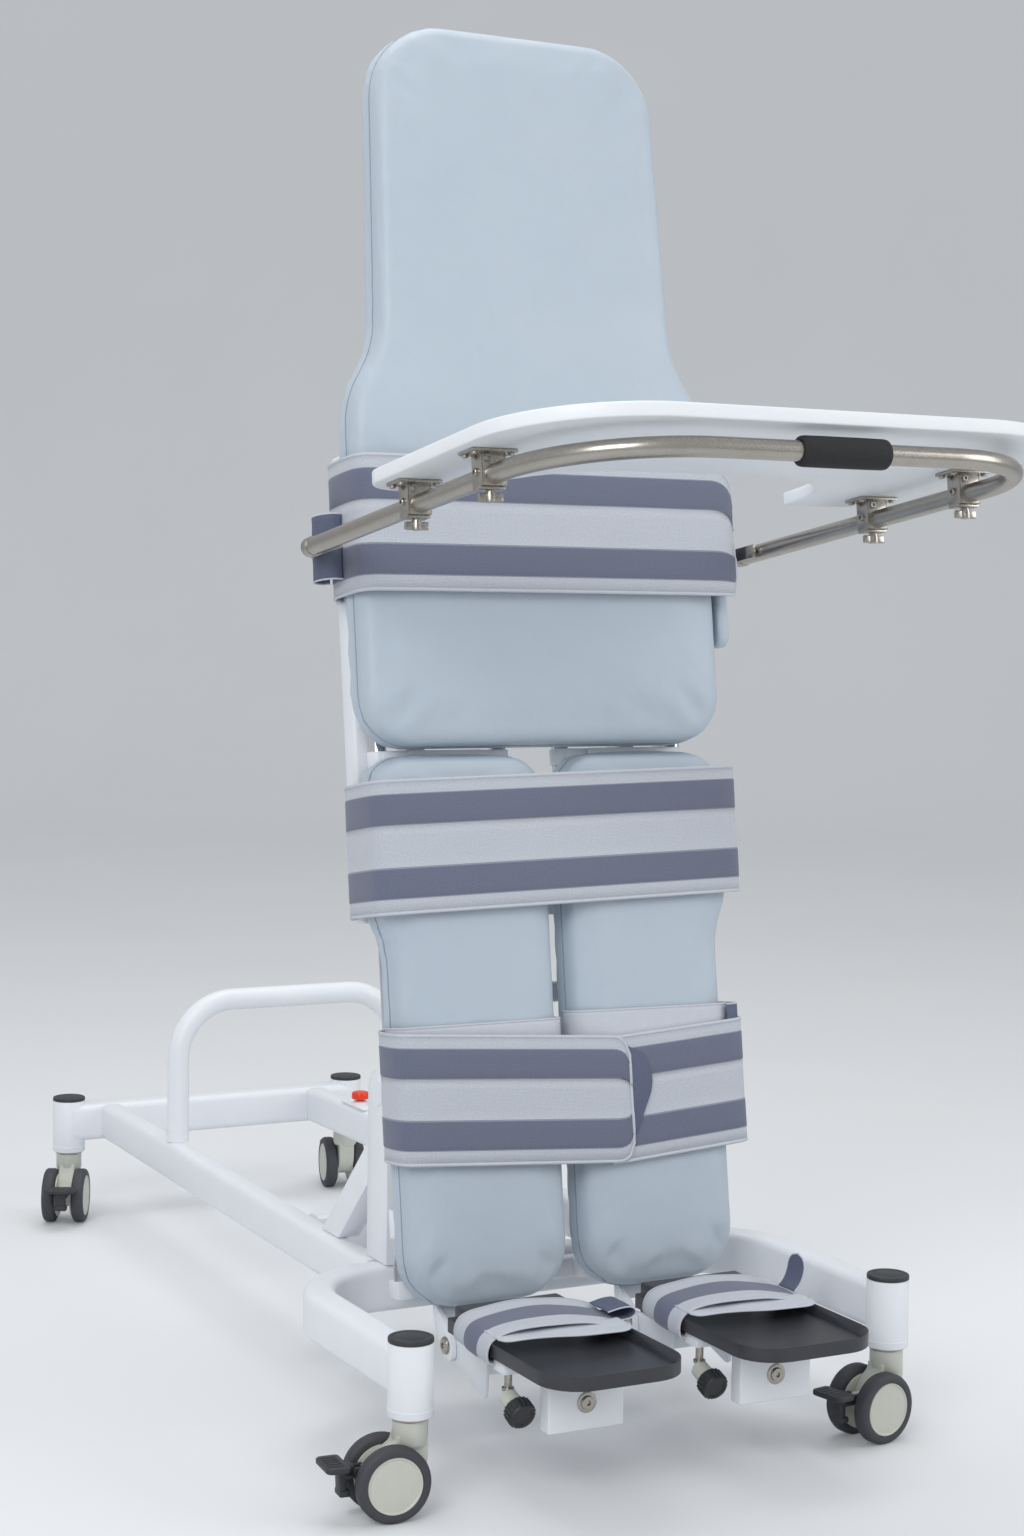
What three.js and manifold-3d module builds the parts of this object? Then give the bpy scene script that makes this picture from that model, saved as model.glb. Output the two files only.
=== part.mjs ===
// Physiotherapy tilt table: a wheeled steel base, a bed in three cushions that tilts from lying
// to nearly upright, two sliding leg sections with foot plates, straps and a tray.
// Millimetres. X runs across, with the left side at -X as seen from the front, Y runs back, Z is up.

import * as THREE from 'three';
import { mergeVertices } from 'three/addons/utils/BufferGeometryUtils.js';
import Module from 'manifold-3d';

const wasm = await Module();
wasm.setup();

// Driving dimensions

const FRONT_TRACK = 746.6;
const REAR_TRACK = 570.6;
const WHEELBASE = 1713.6;
const PIVOT_Y = 413;
const PIVOT_Z = 464.5;
const BED_LEAN = THREE.MathUtils.degToRad(8);
const BED_LENGTH = 1845;
const LEG_PAD_LENGTH = 780;
const TORSO_GAP = 7.6;
const TORSO_START = LEG_PAD_LENGTH + TORSO_GAP;
const TORSO_HALF_WIDTH = 296;
const PAD_THICKNESS = 65;
const WHEEL_DIAMETER = 100;
const TRAY_HEIGHT = 1074;
const TRAY_REACH = 745;

// Shared fits

const TOUCH_GAP = 0.3;
const RUNNING_GAP = 0.3;
const SOFT_GAP = 0.5;
const OVERRUN = 5;

// Base frame

const TUBE_BOTTOM = 150;
const TUBE_HEIGHT = 67;
const TUBE_TOP = TUBE_BOTTOM + TUBE_HEIGHT;
const TUBE_CORNER = 12;
const BOW_WIDTH = 46;
const BOW_DEPTH = 398;
const BOW_BEND = 125;
const RAIL_WIDTH = 40;
const RAIL_FRONT_X = 232.6;
const RAIL_REAR_X = 210;
const CROSSBAR_WIDTH = 62;
const POST_RADIUS = 30;
const POST_BOTTOM = 128.5;
const POST_TOP = 225;
const CAP_HEIGHT = 6.2;
const CAP_EDGE = 1.6;

// Columns that carry the bed pivot

const COLUMN_INNER_X = 196;
const COLUMN_WIDTH = 40;
const COLUMN_DEPTH = 70;
const BRACE_WIDTH = 36;
const BRACE_START_Y = 556;
const BRACE_FOOT = 64;
const AXLE_RADIUS = 15;

// Bow that the bed rests on when it lies flat

const REST_Y = 1315;
const REST_RADIUS = 19;
const REST_HALF_WIDTH = 212;
const REST_BEND = 100;

// Lifting actuator

const ACTUATOR_Y = 660;
const ACTUATOR_Z = 175;
const ACTUATOR_BAR_Y = 690;
const ACTUATOR_BAR_WIDTH = 45;
const CLEVIS_HALF_GAP = 13.3;
const CLEVIS_PLATE = 6;
const CLEVIS_RADIUS = 17;
const CLEVIS_PIN = 6;
const ACTUATOR_EYE = 16;
const ACTUATOR_TUBE = 23;
const ACTUATOR_TUBE_END = 285;
const ACTUATOR_BORE_START = 45;
const ACTUATOR_HOUSING = 60;
const ACTUATOR_HOUSING_START = 22;
const ACTUATOR_HOUSING_END = 92;
const MOTOR_RADIUS = 27;
const MOTOR_OFFSET = 54;
const MOTOR_END = 205;
const ROD_RADIUS = 11;
const ROD_LENGTH = 260;
const ROD_EYE_RADIUS = 14;
const ROD_EYE_HALF = 10;
const ROD_EYE_ROOT = 21;
const CRANK_LENGTH = 130;
const CRANK_BACK = 165;
const CRANK_STUB = 2.4;

// Emergency stop on the right rail

const STOP_Y = 1480;
const STOP_BASE_WIDTH = 36;
const STOP_BASE_LENGTH = 104;
const STOP_BASE_HEIGHT = 4;
const STOP_BOSS_RADIUS = 14;
const STOP_BOSS_HEIGHT = 5;
const STOP_STEM = 6;
const STOP_HEAD_RADIUS = 16.5;
const STOP_HEAD_HEIGHT = 12;
const STOP_SKIRT_SHARE = 0.67;
const STOP_TOP_RADIUS = 14;
const STOP_TRAVEL = 4;

// Casters

const WHEEL_WIDTH = 23;
const WHEEL_SPACING = 55;
const WHEEL_TRAIL = 32;
const WHEEL_AXLE = 7;
const WHEEL_HUB = 16;
const TREAD_CROWN = 3;
const HUB_RECESS = 2;
const RIM_RADIUS = 37;
const CASTER_BODY_WIDTH = 30;
const CASTER_HUB = 24;
const CASTER_NECK = 20;
const STEM_RADIUS = 23.5;
const STEM_BOTTOM = 105;
const STEM_PIN = 11;
const STEM_PIN_LENGTH = 40;
const PEDAL_PIVOT_X = 62;
const PEDAL_PIVOT_Z = 64;
const PEDAL_PIN = 3;
const PEDAL_TONGUE = 10;
const PEDAL_CHEEK = 7;
const PEDAL_ROOT = 6.5;
const PEDAL_BRIDGE_X = 74;
const PEDAL_PAD_START = 88;
const PEDAL_PAD_END = 120;
const PEDAL_PAD_WIDTH = 58;
const PEDAL_PAD_THICKNESS = 7;
const PEDAL_SHANK_END = 14;
const PEDAL_SHANK_WIDTH = 20;
const PEDAL_SHANK_THICKNESS = 9;
const CASTER_HEADINGS = { front_left: 175, front_right: 190, rear_left: 242.5, rear_right: 78 };

// Bed frame, in bed coordinates: across, up the bed, and back from the front of the cushions

const PIVOT_UP = 301.4;
const PIVOT_BACK = 162.7;
const BEAM_FRONT = 104;
const BEAM_BACK = 144;
const BEAM_CORNER = 5;
const INNER_BEAM_X = 175;
const OUTER_BEAM_X = 256;
const INNER_BEAM_WIDTH = 30;
const OUTER_BEAM_WIDTH = 32;
const BEAM_LOW = 10;
const BEAM_HIGH = 1720;
const OUTER_BEAM_LOW = 545;
const OUTER_BEAM_OVER_TRAY = 166;
const OUTER_BEAM_HIGH = TRAY_HEIGHT + OUTER_BEAM_OVER_TRAY;
const CROSS_WIDTH = 30;
const LUG_RADIUS = 27;
const GUIDE_RADIUS = 12.5;
const GUIDE_BACK = 88;
const GUIDE_LOW = 22;
const GUIDE_HIGH = 850;
const GUIDE_OUTER_X = 244;
const GUIDE_INNER_X = 52;
const GUIDE_BLOCK = 20;
const GUIDE_BLOCK_FRONT = 71;
const LOW_CROSS_UP = 27;
const HIGH_CROSS_UP = 848;
const KNEE_CROSS_UP = 560;
const TOP_CROSS_UP = 1705;

// Leg sections

const LEG_CENTRE = 147;
const LEG_PLATE_HALF = 60;
const LEG_PLATE_THICKNESS = 7;
const LEG_PLATE_LOW = -22;
const LEG_BAR_BACK = 100;
const LEG_LOW_BAR_UP = 120;
const LEG_LOW_BAR_LENGTH = 40;
const LEG_HIGH_BAR_UP = 777;
const LEG_HIGH_BAR_LENGTH = 24;
const SLEEVE_RADIUS = 15.6;
const LEG_PAD_INNER = 10;
const LEG_PAD_OUTER = 292;
const LEG_PAD_CALF = 268;
const LEG_STEP_LOW = 505;
const LEG_STEP_HIGH = 565;
const LEG_CORNER_LOW = 80;
const LEG_CORNER_HIGH = 60;

// Ankles and foot plates, in foot coordinates from the ankle pivot, level with the floor

const ANKLE_UP = -49;
const ANKLE_BACK = 37;
const ANKLE_HALF = 51;
const ANKLE_CHEEK = 8;
const ANKLE_RADIUS = 18;
const ANKLE_BOLT = 6;
const ANKLE_HEAD = 12.5;
const ANKLE_HEAD_HEIGHT = 5;
const ANKLE_DOME = 9;
const ANKLE_CHEEK_TURN = THREE.MathUtils.degToRad(144);
const FIN_THICKNESS = 5;
const FIN_REACH = 112;
const FIN_TOP = 15;
const FIN_TIP = 47;
const FIN_EYE = 15.3;
const FIN_TIE_LENGTH = 41;
const FOOT_BEAM_WIDTH = 60;
const FOOT_BEAM_TOP = 48;
const FOOT_BEAM_HEIGHT = 42;
const FOOT_BEAM_START = 40;
const FOOT_BEAM_END = 275;
const FOOT_END_WIDTH = 113;
const FOOT_END_THICKNESS = 25;
const FOOT_END_TOP = 35;
const FOOT_END_BOTTOM = -40;
const FOOT_BOLT_RADIUS = 14;
const FOOT_BOLT_HEIGHT = 5;
const FOOT_BOLT_Z = -3;
const PLATE_WIDTH = 204;
const PLATE_START = 90;
const PLATE_END = 407;
const PLATE_CORNER = 55;
const PLATE_FLOOR = 6;
const PLATE_RIM = 19;
const PLATE_RIM_WIDTH = 7;
const HEEL_WIDTH = 160;
const HEEL_LENGTH = 45;
const HEEL_HEIGHT = 28;
const HEEL_DROP = 16;
const KNOB_X = -84;
const KNOB_Y = -262;
const KNOB_Z = -10;
const KNOB_RADIUS = 20;
const KNOB_FACE_RADIUS = 18;
const KNOB_LENGTH = 22;
const KNOB_SHANK = 5;
const KNOB_ARM = 24;
const KNOB_ARM_REACH = 48;
const KNOB_TILT = THREE.MathUtils.degToRad(20);
const FOOT_STRAP_START = 133;
const FOOT_STRAP_WIDTH = 85;
const FOOT_STRAP_HALF = 106;
const FOOT_STRAP_TOP = 96;
const FOOT_STRAP_TUCK = 40;

// Torso cushion

const TORSO_CORNER = 75;
const TORSO_STEP_LOW = 1280;
const TORSO_STEP_HIGH = 1372;
const CHEST_HALF_WIDTH = 246;
const HEAD_HALF_WIDTH = 231;
const HEAD_CORNER = 112;
const BOLSTER_INNER = 298.5;
const BOLSTER_THICKNESS = 18.5;
const BOLSTER_LOW = 935;
const BOLSTER_LENGTH = 215;
const BOLSTER_FRONT = 16;
const BOLSTER_BACK = 60;
const BOLSTER_TAB = 8;
const BOLSTER_TAB_LOW = 950;
const BOLSTER_TAB_LENGTH = 50;

// Cushion section: how far each ring is drawn in from the outline, and where it lies from back to front

const CUSHION_RING_SHARES = [
  [0.30, 1], [0.05, 0.96], [0.07, 0.66], [0, 0.42], [0.10, 0.20], [0.42, 0.10]];
const CUSHION_EDGE = 26;
const CUSHION_CROWN_SHARES = [[0.78, 0.45], [0.45, 0.13], [0.16, 0]];
const CUSHION_CROWN = 5;

// Straps

const STRAP_THICKNESS = 3;
const STRAP_FLANGE = 20;
const STRAP_FLANGE_RISE = 24;
const STRAP_SIDE = 301;
const STRAP_FRONT = 14;
const STRAP_TURN = 8.4;
const STRAP_TURN_REACH = 56;
const CHEST_STRAP_SIDE = 322;
const CHEST_STRAP_LOW = 1005;
const CHEST_STRAP_WIDTH = 190;
const KNEE_STRAP_WIDTH = 179;
const KNEE_STRAP_SETBACK = 37;
const KNEE_STRAP_LOW = LEG_PAD_LENGTH - KNEE_STRAP_SETBACK - KNEE_STRAP_WIDTH;
const KNEE_STRAP_RISE = 23;
const CALF_STRAP_LOW = 192;
const CALF_STRAP_WIDTH = 178;
const CALF_STRAP_FALL = 26;
const CALF_STRAP_END = 85;
const CALF_STRAP_LAP = 30;
const CALF_STRAP_TUCK = 215;

// Tray

const TRAY_TUBE_X = 355;
const TRAY_TUBE_RADIUS = 12.7;
const TRAY_TUBE_BACK = -30;
const TRAY_BEND = 160;
const TRAY_CAP_RADIUS = 14.2;
const TRAY_CAP_LENGTH = 10;
const TRAY_CAP_DOME = 5;
const TRAY_CAP_END_RADIUS = 8.5;
const TRAY_BOARD_RISE = 31;
const TRAY_BOARD_BOTTOM = TRAY_HEIGHT + TRAY_BOARD_RISE;
const TRAY_BOARD_THICKNESS = 18;
const TRAY_BOARD_HALF = 415;
const TRAY_BOARD_OVERHANG = 12;
const TRAY_BOARD_LENGTH = 519;
const TRAY_BOARD_FRONT = TRAY_REACH + TRAY_BOARD_OVERHANG;
const TRAY_BOARD_BACK = TRAY_BOARD_FRONT - TRAY_BOARD_LENGTH;
const TRAY_BOARD_CORNER = 150;
const TRAY_PRONG_CORNER = 60;
const TRAY_CUT_HALF = 255;
const TRAY_CUT_DEPTH = 192;
const TRAY_CUT_POWER = 0.8;
const TRAY_BRACKET_X = 336;
const TRAY_BRACKET_THICKNESS = 12;
const TRAY_BRACKET_HEIGHT = 22;
const TRAY_BRACKET_FRONT = 30;
const TRAY_SADDLE_BACK = 20;
const TRAY_BRACKET_PLATE = 14;
const GRIP_RADIUS = 19;
const GRIP_START = 60;
const GRIP_LENGTH = 125;
const CLAMP_REAR_SETBACK = 435;
const CLAMP_FRONT_SETBACK = 225;
const CLAMP_PLACES = [TRAY_REACH - CLAMP_REAR_SETBACK, TRAY_REACH - CLAMP_FRONT_SETBACK];
const CLAMP_WIDTH = 34;
const CLAMP_LENGTH = 26;
const CLAMP_FLANGE = 62;
const CLAMP_FLANGE_LENGTH = 40;
const CLAMP_SHEET = 4;
const CLAMP_WALL = 4;
const CLAMP_BOLT = 5;
const CLAMP_BOLT_DROP = 16;
const WING_WIDTH = 34;
const WING_HEIGHT = 12;
const WING_THICKNESS = 5;

// Number of sides on round work

const ROUND_SIDES = 20;
const TUBE_SIDES = 14;
const WHEEL_SIDES = 24;
const SMALL_SIDES = 10;
const BEND_STEPS = 6;
const CORNER_STEPS = 2;
const MITRE_LIMIT_SHARE = 0.5;
const CUSHION_HALF_POINTS = 24;

function look(name, colour, roughness, metalness) {
  return new THREE.MeshStandardMaterial({ name, color: colour, roughness, metalness });
}

const finishes = {
  coat: () => look('white powder coat', 0xebeef3, 0.35, 0.1),
  pad: () => look('blue leatherette', 0xb8c7d4, 0.55, 0),
  strap: () => look('strap webbing', 0xbec3cd, 0.9, 0),
  steel: () => look('stainless steel', 0xb5b0a8, 0.3, 0.9),
  chrome: () => look('chrome', 0xd8d8d8, 0.12, 1),
  black: () => look('black plastic', 0x2f3135, 0.6, 0),
  caster: () => look('beige plastic', 0xc8cbc0, 0.5, 0),
  tyre: () => look('grey tyre', 0x48484f, 0.75, 0),
  board: () => look('white board', 0xf2f4f6, 0.4, 0),
  foam: () => look('black foam', 0x1e1f22, 0.95, 0),
  red: () => look('red plastic', 0xfa3c0a, 0.4, 0),
  motor: () => look('grey housing', 0x55585c, 0.55, 0.2),
};

// Solids

function solidOf(geometry) {
  const bare = geometry.clone();
  bare.deleteAttribute('normal');
  bare.deleteAttribute('uv');
  const merged = mergeVertices(bare);
  const vertProperties = new Float32Array(merged.attributes.position.array);
  const triVerts = new Uint32Array(merged.index.array);
  return new wasm.Manifold(new wasm.Mesh({ numProp: 3, vertProperties, triVerts }));
}

function geometryOf(solid) {
  const mesh = solid.getMesh();
  const geometry = new THREE.BufferGeometry();
  const positions = new Float32Array(mesh.vertProperties);
  geometry.setAttribute('position', new THREE.BufferAttribute(positions, 3));
  geometry.setIndex(new THREE.BufferAttribute(new Uint32Array(mesh.triVerts), 1));
  geometry.computeVertexNormals();
  return geometry;
}

function join(first, ...others) {
  return others.reduce((whole, next) => whole.add(next), first);
}

function cut(whole, ...tools) {
  return tools.reduce((rest, tool) => rest.subtract(tool), whole);
}

function piece(parent, name, solid, finish) {
  const mesh = new THREE.Mesh(geometryOf(solid), finishes[finish]());
  mesh.name = name;
  parent.add(mesh);
  return mesh;
}

function box(x, y, z) {
  const geometry = new THREE.BoxGeometry(x[1] - x[0], y[1] - y[0], z[1] - z[0]);
  geometry.translate((x[0] + x[1]) / 2, (y[0] + y[1]) / 2, (z[0] + z[1]) / 2);
  return solidOf(geometry);
}

function rod(from, to, radius, sides = ROUND_SIDES, endRadius = radius) {
  const start = new THREE.Vector3(...from);
  const along = new THREE.Vector3(...to).sub(start);
  const geometry = new THREE.CylinderGeometry(endRadius, radius, along.length(), sides);
  geometry.translate(0, along.length() / 2, 0);
  const turn = new THREE.Quaternion();
  turn.setFromUnitVectors(new THREE.Vector3(0, 1, 0), along.clone().normalize());
  geometry.applyQuaternion(turn);
  geometry.translate(start.x, start.y, start.z);
  return solidOf(geometry);
}

// The hole for a round piece, wide enough for its flats to clear the piece at any turn
function bore(from, to, radius, sides = ROUND_SIDES) {
  return rod(from, to, (radius + RUNNING_GAP) / Math.cos(Math.PI / sides), sides);
}

// A turned piece about Z, from a profile of radius and height that starts and ends on the axis
function turned(profile, sides = ROUND_SIDES) {
  const geometry = new THREE.LatheGeometry(profile.map(([r, h]) => new THREE.Vector2(r, h)), sides);
  geometry.rotateX(Math.PI / 2);
  return solidOf(geometry);
}

function extruded(shape, depth, basis) {
  const settings = { depth, bevelEnabled: false, curveSegments: CORNER_STEPS };
  const geometry = new THREE.ExtrudeGeometry(shape, settings);
  geometry.applyMatrix4(basis);
  return solidOf(geometry);
}

// A shape drawn across X and up Z, extruded through Y
function slabXZ(shape, y0, y1) {
  const basis = new THREE.Matrix4().makeBasis(
    new THREE.Vector3(1, 0, 0), new THREE.Vector3(0, 0, 1), new THREE.Vector3(0, -1, 0));
  return extruded(shape, y1 - y0, basis.setPosition(0, y1, 0));
}

// A shape drawn along Y and up Z, extruded through X
function slabYZ(shape, x0, x1) {
  const basis = new THREE.Matrix4().makeBasis(
    new THREE.Vector3(0, 1, 0), new THREE.Vector3(0, 0, 1), new THREE.Vector3(1, 0, 0));
  return extruded(shape, x1 - x0, basis.setPosition(x0, 0, 0));
}

// A shape drawn across X and along Y, extruded up Z
function slabXY(shape, z0, z1) {
  return extruded(shape, z1 - z0, new THREE.Matrix4().makeTranslation(0, 0, z0));
}

function sheared(solid, towardX, alongY, fromX = 0, fromZ = 0) {
  const matrix = new THREE.Matrix4().set(
    1, towardX, 0, -towardX * fromX,
    0, 1, 0, 0,
    alongY, 0, 1, -alongY * fromZ,
    0, 0, 0, 1);
  const geometry = geometryOf(solid);
  geometry.applyMatrix4(matrix);
  return solidOf(geometry);
}

function moved(solid, x, y, z) {
  const geometry = geometryOf(solid);
  geometry.translate(x, y, z);
  return solidOf(geometry);
}

function roundedRect(x0, x1, y0, y1, r) {
  const centres = [[x1 - r, y0 + r], [x1 - r, y1 - r], [x0 + r, y1 - r], [x0 + r, y0 + r]];
  const points = [];
  centres.forEach(([x, y], corner) => {
    for (let i = 0; i <= CORNER_STEPS; i += 1) {
      const angle = (corner - 1 + i / CORNER_STEPS) * Math.PI / 2;
      points.push(new THREE.Vector2(x + r * Math.cos(angle), y + r * Math.sin(angle)));
    }
  });
  return new THREE.Shape(points);
}

function disc(radius, sides = TUBE_SIDES) {
  const points = [];
  for (let i = 0; i < sides; i += 1) {
    const angle = i / sides * Math.PI * 2;
    points.push(new THREE.Vector2(radius * Math.cos(angle), radius * Math.sin(angle)));
  }
  return new THREE.Shape(points);
}

// Straight runs joined by round bends, with its sample points in the bends only
class BentPath extends THREE.Curve {
  constructor(corners, bend) {
    super();
    this.stops = [corners[0]];
    for (let i = 1; i < corners.length - 1; i += 1) {
      this.addBend(corners[i - 1], corners[i], corners[i + 1], bend);
    }
    this.stops.push(corners[corners.length - 1]);
  }

  addBend(before, corner, after, bend) {
    const inward = before.clone().sub(corner).normalize();
    const outward = after.clone().sub(corner).normalize();
    const half = inward.angleTo(outward) / 2;
    const reach = bend / Math.tan(half);
    const middle = inward.clone().add(outward).normalize();
    const centre = corner.clone().addScaledVector(middle, bend / Math.sin(half));
    const start = corner.clone().addScaledVector(inward, reach).sub(centre);
    const end = corner.clone().addScaledVector(outward, reach).sub(centre);
    const sweep = start.angleTo(end);
    const axis = start.clone().cross(end).normalize();
    for (let i = 0; i <= BEND_STEPS; i += 1) {
      this.stops.push(start.clone().applyAxisAngle(axis, sweep * i / BEND_STEPS).add(centre));
    }
  }

  getPoint(t) {
    const place = Math.min(Math.max(t, 0), 1) * (this.stops.length - 1);
    const index = Math.min(Math.floor(place), this.stops.length - 2);
    return this.stops[index].clone().lerp(this.stops[index + 1], place - index);
  }

  getPointAt(t) {
    return this.getPoint(t);
  }

  getTangentAt(t) {
    return this.getTangent(t);
  }

  getSpacedPoints(count) {
    return this.getPoints(count);
  }
}

function bentTube(corners, bend, section) {
  const path = new BentPath(corners.map((corner) => new THREE.Vector3(...corner)), bend);
  const steps = path.stops.length - 1;
  const settings = { steps, extrudePath: path, bevelEnabled: false, curveSegments: CORNER_STEPS };
  return solidOf(new THREE.ExtrudeGeometry(section, settings));
}

// A band of even thickness along a flat line of points
function bandShape(points, thickness) {
  const line = points.map(([x, y]) => new THREE.Vector2(x, y));
  const side = (sign) => line.map((point, i) => {
    const before = line[Math.max(i - 1, 0)];
    const after = line[Math.min(i + 1, line.length - 1)];
    const lead = point.clone().sub(before).normalize();
    const tail = after.clone().sub(point).normalize();
    const along = lead.add(tail).normalize();
    const flat = i === 0 ? tail : point.clone().sub(before).normalize();
    const stretch = 1 / Math.max(Math.abs(along.dot(flat)), MITRE_LIMIT_SHARE);
    return new THREE.Vector2(-along.y, along.x).multiplyScalar(sign * stretch * thickness / 2).add(point);
  });
  return new THREE.Shape([...side(1), ...side(-1).reverse()]);
}

// A cushion over an outline: flat back, sides drawn in at the seam and a crowned front
function cushionSolid(outline, thickness) {
  const count = outline.length;
  const centre = outline.reduce((sum, p) => sum.add(p), new THREE.Vector2()).divideScalar(count);
  const normals = outline.map((point, i) => {
    const chord = outline[(i + 1) % count].clone().sub(outline[(i + count - 1) % count]).normalize();
    return new THREE.Vector2(chord.y, -chord.x);
  });
  const rings = CUSHION_RING_SHARES.map(([inset, depth]) => outline.map((p, i) => {
    const at = p.clone().addScaledVector(normals[i], -inset * CUSHION_EDGE);
    return [at.x, depth * thickness, at.y];
  }));
  const edge = outline.map((p, i) => p.clone().addScaledVector(normals[i], -CUSHION_EDGE));
  rings.push(edge.map((p) => [p.x, CUSHION_CROWN, p.y]));
  for (const [scale, drop] of CUSHION_CROWN_SHARES) {
    rings.push(edge.map((p) => {
      const at = p.clone().sub(centre).multiplyScalar(scale).add(centre);
      return [at.x, drop * CUSHION_CROWN, at.y];
    }));
  }
  return lofted(rings, [centre.x, thickness, centre.y], [centre.x, 0, centre.y]);
}

function lofted(rings, first, last) {
  const count = rings[0].length;
  const positions = [...first, ...rings.flat(2), ...last];
  const index = [];
  const at = (ring, i) => 1 + ring * count + i % count;
  const lastPoint = 1 + rings.length * count;
  for (let i = 0; i < count; i += 1) {
    index.push(0, at(0, i + 1), at(0, i));
    index.push(lastPoint, at(rings.length - 1, i), at(rings.length - 1, i + 1));
    for (let ring = 0; ring < rings.length - 1; ring += 1) {
      index.push(at(ring, i), at(ring + 1, i + 1), at(ring + 1, i));
      index.push(at(ring, i), at(ring, i + 1), at(ring + 1, i + 1));
    }
  }
  const geometry = new THREE.BufferGeometry();
  geometry.setAttribute('position', new THREE.BufferAttribute(new Float32Array(positions), 3));
  geometry.setIndex(index);
  return solidOf(geometry);
}

// Base

function railX(y) {
  const start = BOW_DEPTH + BOW_WIDTH / 2;
  const share = (y - start) / (WHEELBASE - CROSSBAR_WIDTH / 2 - start);
  return RAIL_FRONT_X + (RAIL_REAR_X - RAIL_FRONT_X) * share;
}

function post(x, y) {
  const socket = bore([x, y, POST_BOTTOM - OVERRUN], [x, y, POST_BOTTOM + STEM_PIN_LENGTH + TOUCH_GAP],
    STEM_PIN, TUBE_SIDES);
  return { tube: rod([x, y, POST_BOTTOM], [x, y, POST_TOP], POST_RADIUS), socket };
}

function addPostCap(base, name, x, y) {
  const low = POST_TOP + TOUCH_GAP;
  const top = low + CAP_HEIGHT;
  const profile = [[0, low], [POST_RADIUS, low], [POST_RADIUS, top - CAP_EDGE],
    [POST_RADIUS - CAP_EDGE, top], [0, top]];
  piece(base, `${name}_post_cap`, moved(turned(profile), x, y, 0), 'black');
}

function addFrontBow(base) {
  const x = FRONT_TRACK / 2;
  const z = TUBE_BOTTOM + TUBE_HEIGHT / 2;
  const halfHeight = TUBE_HEIGHT / 2;
  const section = roundedRect(-halfHeight, halfHeight, -BOW_WIDTH / 2, BOW_WIDTH / 2, TUBE_CORNER);
  const corners = [[-x, 0, z], [-x, BOW_DEPTH, z], [x, BOW_DEPTH, z], [x, 0, z]];
  const left = post(-x, 0);
  const right = post(x, 0);
  const bow = join(bentTube(corners, BOW_BEND, section), left.tube, right.tube);
  piece(base, 'front_bow', cut(bow, left.socket, right.socket), 'coat');
}

function addRearCrossbar(base) {
  const x = REAR_TRACK / 2;
  const section = roundedRect(-CROSSBAR_WIDTH / 2, CROSSBAR_WIDTH / 2, TUBE_BOTTOM, TUBE_TOP, TUBE_CORNER);
  const bar = moved(slabYZ(section, -x, x), 0, WHEELBASE, 0);
  const left = post(-x, WHEELBASE);
  const right = post(x, WHEELBASE);
  piece(base, 'rear_crossbar', cut(join(bar, left.tube, right.tube), left.socket, right.socket), 'coat');
}

function addRail(base, name, side) {
  const front = BOW_DEPTH + BOW_WIDTH / 2 + TOUCH_GAP;
  const rear = WHEELBASE - CROSSBAR_WIDTH / 2 - TOUCH_GAP;
  const section = roundedRect(-RAIL_WIDTH / 2, RAIL_WIDTH / 2, TUBE_BOTTOM, TUBE_TOP, TUBE_CORNER);
  const slope = (railX(rear) - railX(front)) / (rear - front);
  const straight = moved(slabXZ(section, front, rear), side * railX(0), 0, 0);
  piece(base, name, sheared(straight, side * slope, 0), 'coat');
}

function addColumn(base, name, side) {
  const half = COLUMN_DEPTH / 2;
  const low = TUBE_TOP + TOUCH_GAP;
  const outline = new THREE.Shape();
  outline.moveTo(PIVOT_Y - half, low);
  outline.lineTo(PIVOT_Y + half, low);
  outline.lineTo(PIVOT_Y + half, PIVOT_Z);
  const steps = BEND_STEPS * 2;
  for (let i = 1; i <= steps; i += 1) {
    const angle = i / steps * Math.PI;
    outline.lineTo(PIVOT_Y + half * Math.cos(angle), PIVOT_Z + half * Math.sin(angle));
  }
  const brace = new THREE.Shape();
  const overlap = half / 2;
  const rise = BRACE_START_Y - PIVOT_Y - half + overlap;
  brace.moveTo(BRACE_START_Y, low);
  brace.lineTo(BRACE_START_Y + BRACE_FOOT, low);
  brace.lineTo(PIVOT_Y + half - overlap, low + rise + BRACE_FOOT);
  brace.lineTo(PIVOT_Y + half - overlap, low + rise);
  const middle = side * (COLUMN_INNER_X + COLUMN_WIDTH / 2);
  const across = [middle - COLUMN_WIDTH / 2, middle + COLUMN_WIDTH / 2];
  const upright = slabYZ(outline, ...across);
  const stay = slabYZ(brace, middle - BRACE_WIDTH / 2, middle + BRACE_WIDTH / 2);
  const axleHole = bore([across[0] - OVERRUN, PIVOT_Y, PIVOT_Z], [across[1] + OVERRUN, PIVOT_Y, PIVOT_Z],
    AXLE_RADIUS);
  piece(base, name, cut(join(upright, stay), axleHole), 'coat');
}

function addRestBow(base) {
  const top = PIVOT_Z + PIVOT_BACK - BEAM_BACK - TOUCH_GAP - REST_RADIUS;
  const low = TUBE_TOP + TOUCH_GAP;
  const x = REST_HALF_WIDTH;
  const corners = [[-x, REST_Y, low], [-x, REST_Y, top], [x, REST_Y, top], [x, REST_Y, low]];
  piece(base, 'rest_bow', bentTube(corners, REST_BEND, disc(REST_RADIUS)), 'coat');
}

// Two plates with rounded ends about a cross pin, as on a clevis
function clevisPlates(eye, root, halfGap, thickness) {
  const outline = eyeShape(eye, root, CLEVIS_RADIUS);
  const left = slabYZ(outline, -halfGap - thickness, -halfGap);
  const right = slabYZ(outline, halfGap, halfGap + thickness);
  return [left, right];
}

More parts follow.
